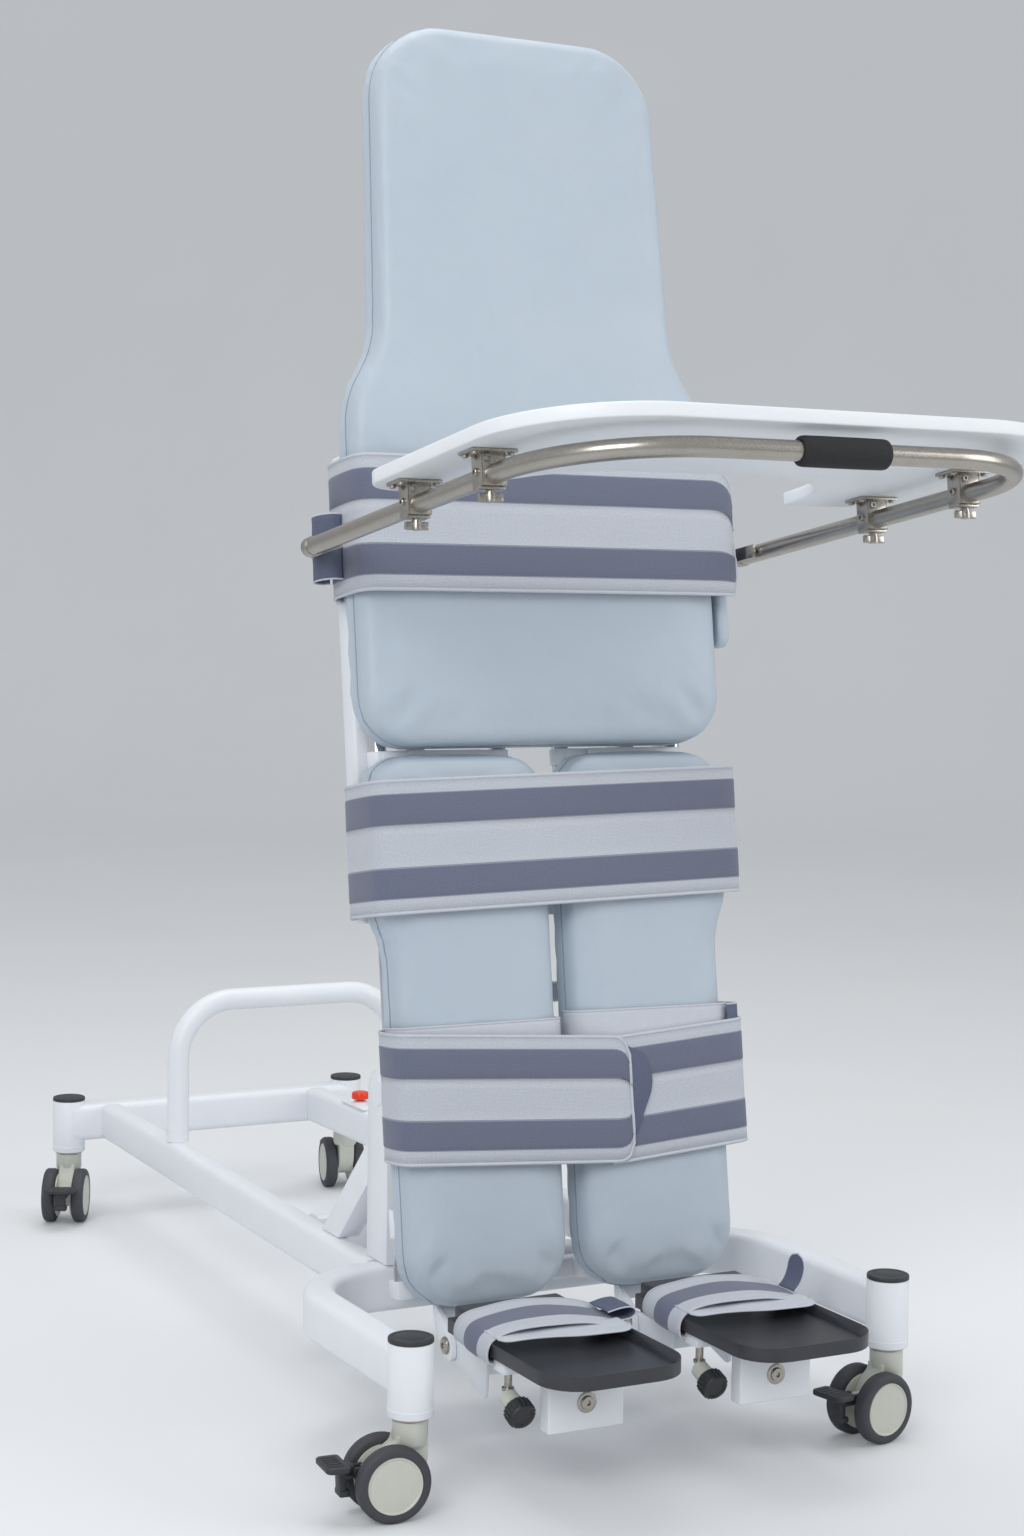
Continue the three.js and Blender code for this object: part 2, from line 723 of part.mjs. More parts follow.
// A strap shape from a square root to a round eye, drawn along Y and up Z
function eyeShape(eye, root, radius) {
  const along = new THREE.Vector2(root[0] - eye[0], root[1] - eye[1]).normalize();
  const angle = Math.atan2(along.y, along.x);
  const shape = new THREE.Shape();
  const across = new THREE.Vector2(-along.y, along.x).multiplyScalar(radius);
  shape.moveTo(root[0] - across.x, root[1] - across.y);
  shape.lineTo(root[0] + across.x, root[1] + across.y);
  for (let i = 0; i <= BEND_STEPS; i += 1) {
    const turn = angle + Math.PI / 2 + Math.PI * i / BEND_STEPS;
    shape.lineTo(eye[0] + radius * Math.cos(turn), eye[1] + radius * Math.sin(turn));
  }
  return shape;
}

function addActuatorCrossbar(base) {
  const back = ACTUATOR_BAR_Y + ACTUATOR_BAR_WIDTH;
  const half = railX(back) - RAIL_WIDTH / 2 - TOUCH_GAP;
  const section = roundedRect(ACTUATOR_BAR_Y, back, TUBE_BOTTOM, TUBE_TOP, TUBE_CORNER);
  const bar = slabYZ(section, -half, half);
  const eye = [ACTUATOR_Y, ACTUATOR_Z];
  const plates = clevisPlates(eye, [ACTUATOR_BAR_Y + OVERRUN, ACTUATOR_Z], CLEVIS_HALF_GAP, CLEVIS_PLATE);
  const reach = CLEVIS_HALF_GAP + CLEVIS_PLATE / 2;
  const pin = rod([-reach, ...eye], [reach, ...eye], CLEVIS_PIN, SMALL_SIDES);
  piece(base, 'actuator_crossbar', join(bar, ...plates, pin), 'coat');
}

function addEmergencyStop(base) {
  const x = railX(STOP_Y);
  const low = TUBE_TOP + TOUCH_GAP;
  const top = low + STOP_BASE_HEIGHT;
  const halfWidth = STOP_BASE_WIDTH / 2;
  const halfLength = STOP_BASE_LENGTH / 2;
  const plate = slabXY(roundedRect(x - halfWidth, x + halfWidth, STOP_Y - halfLength, STOP_Y + halfLength,
    STOP_BASE_HEIGHT), low, top);
  const boss = rod([x, STOP_Y, low], [x, STOP_Y, top + STOP_BOSS_HEIGHT], STOP_BOSS_RADIUS);
  const stemHole = bore([x, STOP_Y, low - OVERRUN], [x, STOP_Y, top + STOP_BOSS_HEIGHT + OVERRUN], STOP_STEM);
  piece(base, 'stop_base', cut(join(plate, boss), stemHole), 'board');
  const headLow = top + STOP_BOSS_HEIGHT + STOP_TRAVEL + TOUCH_GAP;
  const headTop = headLow + STOP_HEAD_HEIGHT;
  const stemLow = low + STOP_TRAVEL + TOUCH_GAP;
  const skirtTop = headLow + STOP_HEAD_HEIGHT * STOP_SKIRT_SHARE;
  const profile = [[0, stemLow], [STOP_STEM, stemLow], [STOP_STEM, headLow], [STOP_HEAD_RADIUS, headLow],
    [STOP_HEAD_RADIUS, skirtTop], [STOP_TOP_RADIUS, headTop], [0, headTop]];
  piece(base, 'stop_button', moved(turned(profile), x, STOP_Y, 0), 'red');
}

// Casters, each drawn with its wheel trailing along X and its swivel on the Z axis

function casterBody() {
  const wheelZ = WHEEL_DIAMETER / 2;
  const outline = new THREE.Shape();
  outline.moveTo(-CASTER_NECK, STEM_BOTTOM + OVERRUN);
  outline.lineTo(-CASTER_NECK, PEDAL_PIVOT_Z + PEDAL_ROOT);
  outline.lineTo(WHEEL_TRAIL - CASTER_HUB, wheelZ);
  for (let i = 0; i <= BEND_STEPS; i += 1) {
    const angle = Math.PI + i / BEND_STEPS * Math.PI;
    outline.lineTo(WHEEL_TRAIL + CASTER_HUB * Math.cos(angle), wheelZ + CASTER_HUB * Math.sin(angle));
  }
  outline.lineTo(WHEEL_TRAIL + CASTER_NECK / 2, STEM_BOTTOM - CASTER_NECK);
  outline.lineTo(CASTER_NECK, STEM_BOTTOM + OVERRUN);
  const half = CASTER_BODY_WIDTH / 2;
  const trunk = slabXZ(outline, -half, half);
  const tongueTop = PEDAL_PIVOT_Z + PEDAL_ROOT;
  const tongue = box([WHEEL_TRAIL, PEDAL_PIVOT_X + PEDAL_ROOT / 2], [-PEDAL_TONGUE / 2, PEDAL_TONGUE / 2],
    [PEDAL_PIVOT_Z - PEDAL_ROOT, tongueTop]);
  const pinHalf = PEDAL_TONGUE / 2 + PEDAL_CHEEK;
  const pin = rod([PEDAL_PIVOT_X, -pinHalf, PEDAL_PIVOT_Z], [PEDAL_PIVOT_X, pinHalf, PEDAL_PIVOT_Z],
    PEDAL_PIN, SMALL_SIDES);
  const stem = rod([0, 0, STEM_BOTTOM], [0, 0, POST_BOTTOM - TOUCH_GAP], STEM_RADIUS);
  const stemPin = rod([0, 0, STEM_BOTTOM], [0, 0, POST_BOTTOM + STEM_PIN_LENGTH], STEM_PIN, TUBE_SIDES);
  const axleHole = bore([WHEEL_TRAIL, -half - OVERRUN, wheelZ], [WHEEL_TRAIL, half + OVERRUN, wheelZ],
    WHEEL_AXLE, TUBE_SIDES);
  return cut(join(trunk, tongue, pin, stem, stemPin), axleHole);
}

function casterWheels() {
  const radius = WHEEL_DIAMETER / 2;
  const half = WHEEL_WIDTH / 2;
  const profile = [[0, -half], [WHEEL_HUB, -half], [radius - TREAD_CROWN, -half],
    [radius, -half + TREAD_CROWN], [radius, half - TREAD_CROWN], [radius - TREAD_CROWN, half], [RIM_RADIUS, half],
    [RIM_RADIUS - HUB_RECESS, half - HUB_RECESS], [0, half - HUB_RECESS]];
  const inner = new THREE.Matrix4().makeRotationX(-Math.PI / 2);
  const outer = new THREE.Matrix4().makeRotationX(Math.PI / 2);
  const wheel = (turn, side) => {
    const geometry = geometryOf(turned(profile, WHEEL_SIDES));
    geometry.applyMatrix4(turn);
    geometry.rotateY(Math.PI / WHEEL_SIDES);
    geometry.translate(WHEEL_TRAIL, side * WHEEL_SPACING / 2, radius);
    return solidOf(geometry);
  };
  const reach = WHEEL_SPACING / 2;
  const axle = rod([WHEEL_TRAIL, -reach, radius], [WHEEL_TRAIL, reach, radius], WHEEL_AXLE, TUBE_SIDES);
  return join(wheel(inner, 1), wheel(outer, -1), axle);
}

function brakePedal() {
  const inner = PEDAL_TONGUE / 2 + RUNNING_GAP;
  const outer = PEDAL_TONGUE / 2 + PEDAL_CHEEK;
  const top = PEDAL_PIVOT_Z + PEDAL_ROOT;
  const low = PEDAL_PIVOT_Z - PEDAL_ROOT;
  const shankFront = PEDAL_PAD_START + PEDAL_SHANK_THICKNESS;
  const arm = box([PEDAL_PIVOT_X - PEDAL_PIN, shankFront], [-outer, outer], [low, top]);
  const slot = box([PEDAL_PIVOT_X - PEDAL_ROOT - OVERRUN, PEDAL_BRIDGE_X], [-inner, inner],
    [low - OVERRUN, top + OVERRUN]);
  const pinReach = outer + OVERRUN;
  const pinHole = bore([PEDAL_PIVOT_X, -pinReach, PEDAL_PIVOT_Z], [PEDAL_PIVOT_X, pinReach, PEDAL_PIVOT_Z],
    PEDAL_PIN, SMALL_SIDES);
  const halfPad = PEDAL_PAD_WIDTH / 2;
  const padShape = roundedRect(PEDAL_PAD_START, PEDAL_PAD_END, -halfPad, halfPad, PEDAL_PAD_THICKNESS);
  const pad = slabXY(padShape, top - PEDAL_PAD_THICKNESS, top + PEDAL_PAD_THICKNESS / 2);
  const shankHalf = PEDAL_SHANK_WIDTH / 2;
  const shank = box([PEDAL_PAD_START, shankFront], [-shankHalf, shankHalf], [PEDAL_SHANK_END, top]);
  return cut(join(arm, pad, shank), slot, pinHole);
}

function addCaster(table, name, x, y) {
  const swivel = new THREE.Group();
  swivel.position.set(x, y, 0);
  swivel.rotation.z = THREE.MathUtils.degToRad(CASTER_HEADINGS[name]);
  table.add(swivel);
  piece(swivel, `${name}_caster_body`, casterBody(), 'caster');
  piece(swivel, `${name}_caster_wheels`, casterWheels(), 'tyre');
  piece(swivel, `${name}_brake_pedal`, brakePedal(), 'black');
}

// Bed coordinates: a point across, up the bed and back from the cushions' front, in the bed's group

function bedBox(across, up, back) {
  return box(across, back, up);
}

function bedBeam(across, up, width) {
  const shape = roundedRect(across - width / 2, across + width / 2, BEAM_FRONT, BEAM_BACK, BEAM_CORNER);
  return slabXY(shape, ...up);
}

function bedCross(half, up, front) {
  const width = CROSS_WIDTH / 2;
  return slabYZ(roundedRect(front, BEAM_BACK, up - width, up + width, BEAM_CORNER), -half, half);
}

function guideBlock(across, up) {
  const half = GUIDE_BLOCK;
  return bedBox([across - half, across + half], [up - CROSS_WIDTH / 2, up + CROSS_WIDTH / 2],
    [GUIDE_BLOCK_FRONT, BEAM_FRONT + BEAM_CORNER]);
}

function guidePlaces() {
  return [-GUIDE_OUTER_X, -GUIDE_INNER_X, GUIDE_INNER_X, GUIDE_OUTER_X];
}

function pivotLug(side) {
  const eye = [PIVOT_BACK, PIVOT_UP];
  const root = [BEAM_FRONT + BEAM_CORNER, PIVOT_UP];
  const half = INNER_BEAM_WIDTH / 2;
  const middle = side * INNER_BEAM_X;
  const plate = slabYZ(eyeShape(eye, root, LUG_RADIUS), middle - half, middle + half);
  const tip = side * (COLUMN_INNER_X + COLUMN_WIDTH);
  const axle = rod([middle, ...eye], [tip, ...eye], AXLE_RADIUS);
  return [plate, axle];
}

function trayBracket(side) {
  const low = TRAY_HEIGHT - TRAY_BRACKET_HEIGHT / 2;
  const up = [low, low + TRAY_BRACKET_HEIGHT];
  const half = TRAY_BRACKET_THICKNESS / 2;
  const across = [side * OUTER_BEAM_X, side * (TRAY_BRACKET_X + half)].sort((a, b) => a - b);
  const bar = [side * TRAY_BRACKET_X - half, side * TRAY_BRACKET_X + half];
  const arm = bedBox(across, up, [BEAM_BACK - BEAM_CORNER, BEAM_BACK + TRAY_BRACKET_PLATE]);
  const reach = bedBox(bar, up, [-TRAY_BRACKET_FRONT, BEAM_BACK + TRAY_BRACKET_PLATE]);
  const saddleX = [side * TRAY_BRACKET_X, side * (TRAY_TUBE_X - TRAY_TUBE_RADIUS / 2)].sort((a, b) => a - b);
  const saddle = bedBox(saddleX, up, [-TRAY_BRACKET_FRONT, TRAY_SADDLE_BACK]);
  return [arm, reach, saddle];
}

// The tube slides in the saddles, and its end caps slide behind them
function trayTubeClearance(side) {
  const x = side * TRAY_TUBE_X;
  const back = [x, BEAM_BACK, TRAY_HEIGHT];
  const channel = bore([x, -TRAY_REACH, TRAY_HEIGHT], back, TRAY_TUBE_RADIUS, TUBE_SIDES);
  const capChannel = bore([x, TRAY_SADDLE_BACK, TRAY_HEIGHT], back, TRAY_CAP_RADIUS, TUBE_SIDES);
  return join(channel, capChannel);
}

function bolsterTab(side) {
  const outer = BOLSTER_INNER + BOLSTER_THICKNESS - OVERRUN;
  const up = [BOLSTER_TAB_LOW, BOLSTER_TAB_LOW + BOLSTER_TAB_LENGTH];
  const foot = [side * OUTER_BEAM_X, side * outer].sort((a, b) => a - b);
  const wing = [side * (outer - BOLSTER_TAB), side * outer].sort((a, b) => a - b);
  const depth = [BEAM_FRONT, BEAM_FRONT + BOLSTER_TAB];
  return [bedBox(foot, up, depth), bedBox(wing, up, [BOLSTER_BACK + TOUCH_GAP, depth[1]])];
}

function actuatorMount() {
  const eye = [CRANK_BACK, PIVOT_UP + CRANK_LENGTH];
  const plates = clevisPlates(eye, [BEAM_BACK - BEAM_CORNER, eye[1]], CLEVIS_HALF_GAP, CLEVIS_PLATE);
  const stubs = [-1, 1].map((side) => {
    const tip = side * (CLEVIS_HALF_GAP - CRANK_STUB);
    return rod([side * (CLEVIS_HALF_GAP + CLEVIS_PLATE), ...eye], [tip, ...eye], CLEVIS_PIN, SMALL_SIDES);
  });
  return [...plates, ...stubs];
}

function addBedFrame(bed) {
  const inner = INNER_BEAM_X;
  const outer = OUTER_BEAM_X + OUTER_BEAM_WIDTH / 2 - BEAM_CORNER;
  const padBack = PAD_THICKNESS + TOUCH_GAP;
  const restUp = PIVOT_UP + REST_Y - PIVOT_Y;
  const parts = [];
  for (const side of [-1, 1]) {
    parts.push(bedBeam(side * inner, [BEAM_LOW, BEAM_HIGH], INNER_BEAM_WIDTH));
    parts.push(bedBeam(side * OUTER_BEAM_X, [OUTER_BEAM_LOW, OUTER_BEAM_HIGH], OUTER_BEAM_WIDTH));
    parts.push(...pivotLug(side), ...trayBracket(side), ...bolsterTab(side));
  }
  parts.push(bedCross(outer, LOW_CROSS_UP, BEAM_FRONT));
  parts.push(bedCross(inner, PIVOT_UP + CRANK_LENGTH, BEAM_FRONT));
  parts.push(bedCross(outer, KNEE_CROSS_UP, BEAM_FRONT));
  parts.push(bedCross(outer, HIGH_CROSS_UP, padBack));
  parts.push(bedCross(outer, restUp, padBack));
  parts.push(bedCross(inner, TOP_CROSS_UP, padBack));
  parts.push(...actuatorMount());
  parts.push(...guidePlaces().map((across) => guideBlock(across, LOW_CROSS_UP)));
  const tubes = guidePlaces().map((across) => guideTube(across, GUIDE_RADIUS + RUNNING_GAP, TOUCH_GAP));
  const whole = cut(join(...parts), ...tubes, trayTubeClearance(-1), trayTubeClearance(1));
  piece(bed, 'bed_frame', whole, 'coat');
}

function guideTube(across, radius, extra) {
  const low = [across, GUIDE_BACK, GUIDE_LOW - extra];
  const high = [across, GUIDE_BACK, GUIDE_HIGH + extra];
  return rod(low, high, radius, TUBE_SIDES);
}

function addGuideTubes(bed) {
  const names = ['left_outer', 'left_inner', 'right_inner', 'right_outer'];
  guidePlaces().forEach((across, i) => {
    piece(bed, `${names[i]}_guide_tube`, guideTube(across, GUIDE_RADIUS, 0), 'chrome');
  });
}

function torsoOutline() {
  const half = new THREE.Path();
  half.moveTo(0, TORSO_START);
  half.lineTo(TORSO_HALF_WIDTH - TORSO_CORNER, TORSO_START);
  half.absarc(TORSO_HALF_WIDTH - TORSO_CORNER, TORSO_START + TORSO_CORNER, TORSO_CORNER, -Math.PI / 2, 0);
  half.lineTo(TORSO_HALF_WIDTH, TORSO_STEP_LOW);
  const middle = (TORSO_STEP_LOW + TORSO_STEP_HIGH) / 2;
  half.bezierCurveTo(TORSO_HALF_WIDTH, middle, CHEST_HALF_WIDTH, middle, CHEST_HALF_WIDTH, TORSO_STEP_HIGH);
  half.lineTo(HEAD_HALF_WIDTH, BED_LENGTH - HEAD_CORNER);
  half.absarc(HEAD_HALF_WIDTH - HEAD_CORNER, BED_LENGTH - HEAD_CORNER, HEAD_CORNER, 0, Math.PI / 2);
  half.lineTo(0, BED_LENGTH);
  const right = half.getSpacedPoints(CUSHION_HALF_POINTS);
  const left = right.slice(1, -1).reverse().map((p) => new THREE.Vector2(-p.x, p.y));
  return [...right, ...left];
}

function legOutline(side) {
  const shape = new THREE.Path();
  const low = LEG_CORNER_LOW;
  const high = LEG_CORNER_HIGH;
  shape.moveTo(LEG_PAD_INNER + low, 0);
  shape.lineTo(LEG_PAD_CALF - low, 0);
  shape.absarc(LEG_PAD_CALF - low, low, low, -Math.PI / 2, 0);
  shape.lineTo(LEG_PAD_CALF, LEG_STEP_LOW);
  const middle = (LEG_STEP_LOW + LEG_STEP_HIGH) / 2;
  shape.bezierCurveTo(LEG_PAD_CALF, middle, LEG_PAD_OUTER, middle, LEG_PAD_OUTER, LEG_STEP_HIGH);
  shape.lineTo(LEG_PAD_OUTER, LEG_PAD_LENGTH - high);
  shape.absarc(LEG_PAD_OUTER - high, LEG_PAD_LENGTH - high, high, 0, Math.PI / 2);
  shape.absarc(LEG_PAD_INNER + high, LEG_PAD_LENGTH - high, high, Math.PI / 2, Math.PI);
  shape.absarc(LEG_PAD_INNER + low, low, low, Math.PI, Math.PI * 3 / 2);
  const points = shape.getSpacedPoints(CUSHION_HALF_POINTS * 2).slice(0, -1);
  return side > 0 ? points : points.map((p) => new THREE.Vector2(-p.x, p.y)).reverse();
}

function addTorso(bed) {
  piece(bed, 'torso_pad', cushionSolid(torsoOutline(), PAD_THICKNESS), 'pad');
  for (const [name, side] of [['left', -1], ['right', 1]]) {
    const across = [side * BOLSTER_INNER, side * (BOLSTER_INNER + BOLSTER_THICKNESS)].sort((a, b) => a - b);
    const shape = roundedRect(BOLSTER_FRONT, BOLSTER_BACK, BOLSTER_LOW, BOLSTER_LOW + BOLSTER_LENGTH,
      BOLSTER_THICKNESS);
    piece(bed, `${name}_side_bolster`, slabYZ(shape, ...across), 'pad');
  }
}

// A strap that crosses the bed in front of the cushions and is fixed to the outer beams
function strapLine(side) {
  const fixed = OUTER_BEAM_X + OUTER_BEAM_WIDTH / 2 + TOUCH_GAP + STRAP_THICKNESS / 2;
  const flange = BEAM_BACK - BEAM_CORNER;
  const right = [[fixed, flange], [fixed, flange - STRAP_FLANGE], [side, flange - STRAP_FLANGE_RISE],
    [side, STRAP_FRONT], [side - STRAP_FRONT, -STRAP_TURN], [side - STRAP_TURN_REACH, -STRAP_FRONT]];
  const left = right.map(([x, y]) => [-x, y]);
  return [...left, ...right.reverse()];
}

function addStraps(bed) {
  const chest = slabXY(bandShape(strapLine(CHEST_STRAP_SIDE), STRAP_THICKNESS),
    CHEST_STRAP_LOW, CHEST_STRAP_LOW + CHEST_STRAP_WIDTH);
  piece(bed, 'chest_strap', chest, 'strap');
  const knee = slabXY(bandShape(strapLine(STRAP_SIDE), STRAP_THICKNESS),
    KNEE_STRAP_LOW, KNEE_STRAP_LOW + KNEE_STRAP_WIDTH);
  piece(bed, 'knee_strap', sheared(knee, 0, KNEE_STRAP_RISE / STRAP_SIDE / 2), 'strap');
  piece(bed, 'calf_strap', calfStrap(), 'strap');
}

// The calf strap closes with its left end lapped over its right end
function calfStrap() {
  const tuck = PAD_THICKNESS + SOFT_GAP + STRAP_THICKNESS / 2;
  const half = (end, behind) => [[CALF_STRAP_TUCK, tuck], [STRAP_SIDE, tuck], [STRAP_SIDE, STRAP_FRONT],
    [STRAP_SIDE - STRAP_FRONT, behind - STRAP_TURN], [STRAP_SIDE - STRAP_TURN_REACH, behind - STRAP_FRONT],
    [end, behind - STRAP_FRONT]];
  const leftLine = half(-CALF_STRAP_END, 0).map(([x, y]) => [-x, y]);
  const rightLine = half(CALF_STRAP_END - CALF_STRAP_LAP, STRAP_THICKNESS);
  const up = [CALF_STRAP_LOW, CALF_STRAP_LOW + CALF_STRAP_WIDTH];
  const left = sheared(slabXY(bandShape(leftLine, STRAP_THICKNESS), ...up), 0, -CALF_STRAP_FALL / STRAP_SIDE);
  const slope = CALF_STRAP_FALL / STRAP_SIDE / 2;
  const right = sheared(slabXY(bandShape(rightLine, STRAP_THICKNESS), ...up), 0, slope);
  return join(left, right);
}

// Leg sections

function addLeg(bed, name, side) {
  const leg = new THREE.Group();
  bed.add(leg);
  const centre = side * LEG_CENTRE;
  const plateFront = PAD_THICKNESS + TOUCH_GAP;
  const plateHigh = LEG_HIGH_BAR_UP + LEG_HIGH_BAR_LENGTH / 2;
  const plate = bedBox([centre - LEG_PLATE_HALF, centre + LEG_PLATE_HALF], [LEG_PLATE_LOW, plateHigh],
    [plateFront, plateFront + LEG_PLATE_THICKNESS]);
  const bars = [
    legBar(side, LEG_LOW_BAR_UP, LEG_LOW_BAR_LENGTH),
    legBar(side, LEG_HIGH_BAR_UP, LEG_HIGH_BAR_LENGTH),
  ];
  const bores = [GUIDE_INNER_X, GUIDE_OUTER_X].map((x) => bore([side * x, GUIDE_BACK, GUIDE_LOW],
    [side * x, GUIDE_BACK, GUIDE_HIGH], GUIDE_RADIUS, TUBE_SIDES));
  const frame = cut(join(plate, ...bars), ...bores);
  const cheeks = [-1, 1].map((end) => ankleCheek(centre, end));
  const reach = ANKLE_HALF + ANKLE_CHEEK + OVERRUN;
  const boltHole = bore([centre - reach, ANKLE_BACK, ANKLE_UP], [centre + reach, ANKLE_BACK, ANKLE_UP],
    ANKLE_BOLT, SMALL_SIDES);
  piece(leg, `${name}_leg_frame`, cut(join(frame, ...cheeks), boltHole), 'coat');
  piece(leg, `${name}_leg_pad`, cushionSolid(legOutline(side), PAD_THICKNESS), 'pad');
  piece(leg, `${name}_ankle_bolt`, ankleBolt(centre), 'steel');
  addFoot(leg, name, centre);
}

// A crossbar behind the plate with a sleeve on each guide tube
function legBar(side, up, length) {
  const low = up - length / 2;
  const front = PAD_THICKNESS + TOUCH_GAP + LEG_PLATE_THICKNESS / 2;
  const cross = [side * GUIDE_INNER_X, side * GUIDE_OUTER_X].sort((a, b) => a - b);
  const bar = bedBox(cross, [low, low + length], [front, LEG_BAR_BACK]);
  const sleeves = cross.map((x) => rod([x, GUIDE_BACK, low], [x, GUIDE_BACK, low + length],
    SLEEVE_RADIUS, TUBE_SIDES));
  return join(bar, ...sleeves);
}

function ankleCheek(centre, end) {
  const inner = centre + end * ANKLE_HALF;
  const across = [inner, inner + end * ANKLE_CHEEK].sort((a, b) => a - b);
  const back = PAD_THICKNESS + TOUCH_GAP + LEG_PLATE_THICKNESS;
  const shape = new THREE.Shape();
  shape.moveTo(back, -LEG_PLATE_LOW);
  shape.lineTo(PAD_THICKNESS + TOUCH_GAP, -LEG_PLATE_LOW);
  shape.lineTo(PAD_THICKNESS + TOUCH_GAP, 0);
  for (let i = 0; i <= BEND_STEPS; i += 1) {
    const turn = ANKLE_CHEEK_TURN + i / BEND_STEPS * Math.PI;
    shape.lineTo(ANKLE_BACK + ANKLE_RADIUS * Math.cos(turn), ANKLE_UP + ANKLE_RADIUS * Math.sin(turn));
  }
  shape.lineTo(back, LEG_PLATE_LOW);
  return slabYZ(shape, ...across);
}

function ankleBolt(centre) {
  const outer = ANKLE_HALF + ANKLE_CHEEK + TOUCH_GAP;
  const reach = outer + TOUCH_GAP;
  const shank = rod([centre - reach, ANKLE_BACK, ANKLE_UP], [centre + reach, ANKLE_BACK, ANKLE_UP],
    ANKLE_BOLT, SMALL_SIDES);
  const heads = [-1, 1].map((end) => {
    const inner = centre + end * outer;
    return rod([inner, ANKLE_BACK, ANKLE_UP], [inner + end * ANKLE_HEAD_HEIGHT, ANKLE_BACK, ANKLE_UP],
      ANKLE_HEAD, TUBE_SIDES, ANKLE_DOME);
  });
  return join(shank, ...heads);
}

// Feet

function addFoot(leg, name, centre) {
  const foot = new THREE.Group();
  foot.position.set(centre, ANKLE_BACK, ANKLE_UP);
  foot.rotation.x = BED_LEAN;
  leg.add(foot);
  piece(foot, `${name}_foot_beam`, footBeam(), 'coat');
  piece(foot, `${name}_foot_plate`, footPlate(), 'black');
  piece(foot, `${name}_foot_knob`, footKnob(), 'black');
  piece(foot, `${name}_foot_strap`, footStrap(), 'strap');
}

function footBeam() {
  const half = FOOT_BEAM_WIDTH / 2;
  const low = FOOT_BEAM_TOP - FOOT_BEAM_HEIGHT;
  const beamShape = roundedRect(-half, half, low, FOOT_BEAM_TOP, BEAM_CORNER);
  const beam = slabXZ(beamShape, -FOOT_BEAM_END - FOOT_END_THICKNESS / 2, -FOOT_BEAM_START);
  const endHalf = FOOT_END_WIDTH / 2;
  const endBlock = box([-endHalf, endHalf], [-FOOT_BEAM_END - FOOT_END_THICKNESS, -FOOT_BEAM_END],
    [FOOT_END_BOTTOM, FOOT_END_TOP]);
  const finOuter = ANKLE_HALF - RUNNING_GAP;
  const fins = [-1, 1].map((end) => {
    const across = [end * finOuter, end * (finOuter - FIN_THICKNESS)].sort((a, b) => a - b);
    return slabYZ(finShape(), ...across);
  });
  const tieFront = -FIN_REACH + FIN_THICKNESS;
  const tie = box([-finOuter, finOuter], [tieFront, tieFront + FIN_TIE_LENGTH],
    [-FIN_TOP, low + FIN_THICKNESS]);
  const front = -FOOT_BEAM_END - FOOT_END_THICKNESS;
  const bolt = rod([0, front + OVERRUN, FOOT_BOLT_Z], [0, front - FOOT_BOLT_HEIGHT, FOOT_BOLT_Z],
    FOOT_BOLT_RADIUS);
  const arm = knobArm();
  const boltHole = bore([-ANKLE_HALF, 0, 0], [ANKLE_HALF, 0, 0], ANKLE_BOLT, SMALL_SIDES);
  const shankHole = bore(knobPoint(-KNOB_ARM - OVERRUN), knobPoint(KNOB_LENGTH), KNOB_SHANK, SMALL_SIDES);
  return cut(join(beam, endBlock, ...fins, tie, bolt, arm), boltHole, shankHole);
}

// The side plate between the ankle and the foot beam
function finShape() {
  const shape = new THREE.Shape();
  for (let i = 0; i <= BEND_STEPS; i += 1) {
    const turn = -Math.PI / 2 + i / BEND_STEPS * Math.PI;
    shape.lineTo(FIN_EYE * Math.cos(turn), FIN_EYE * Math.sin(turn));
  }
  shape.lineTo(-FIN_REACH, FIN_TOP);
  shape.lineTo(-FIN_REACH + FIN_THICKNESS, -FIN_TIP);
  return shape;
}

function knobDirection() {
  return [0, -Math.cos(KNOB_TILT), -Math.sin(KNOB_TILT)];
}

function knobPoint(distance) {
  const direction = knobDirection();
  return [KNOB_X, KNOB_Y + direction[1] * distance, KNOB_Z + direction[2] * distance];
}

function knobArm() {
  const half = KNOB_ARM / 2;
  const low = FOOT_BEAM_TOP - FOOT_BEAM_HEIGHT;
  const bar = box([KNOB_X - half, 0], [KNOB_Y + half, KNOB_Y + KNOB_ARM_REACH], [low, low + KNOB_ARM]);
  const boss = rod(knobPoint(-KNOB_ARM_REACH), knobPoint(-TOUCH_GAP), half, TUBE_SIDES);
  return join(bar, boss);
}

function footKnob() {
  const head = rod(knobPoint(0), knobPoint(KNOB_LENGTH), KNOB_RADIUS, ROUND_SIDES, KNOB_FACE_RADIUS);
  return join(head, rod(knobPoint(-KNOB_ARM), knobPoint(KNOB_LENGTH / 2), KNOB_SHANK, SMALL_SIDES));
}

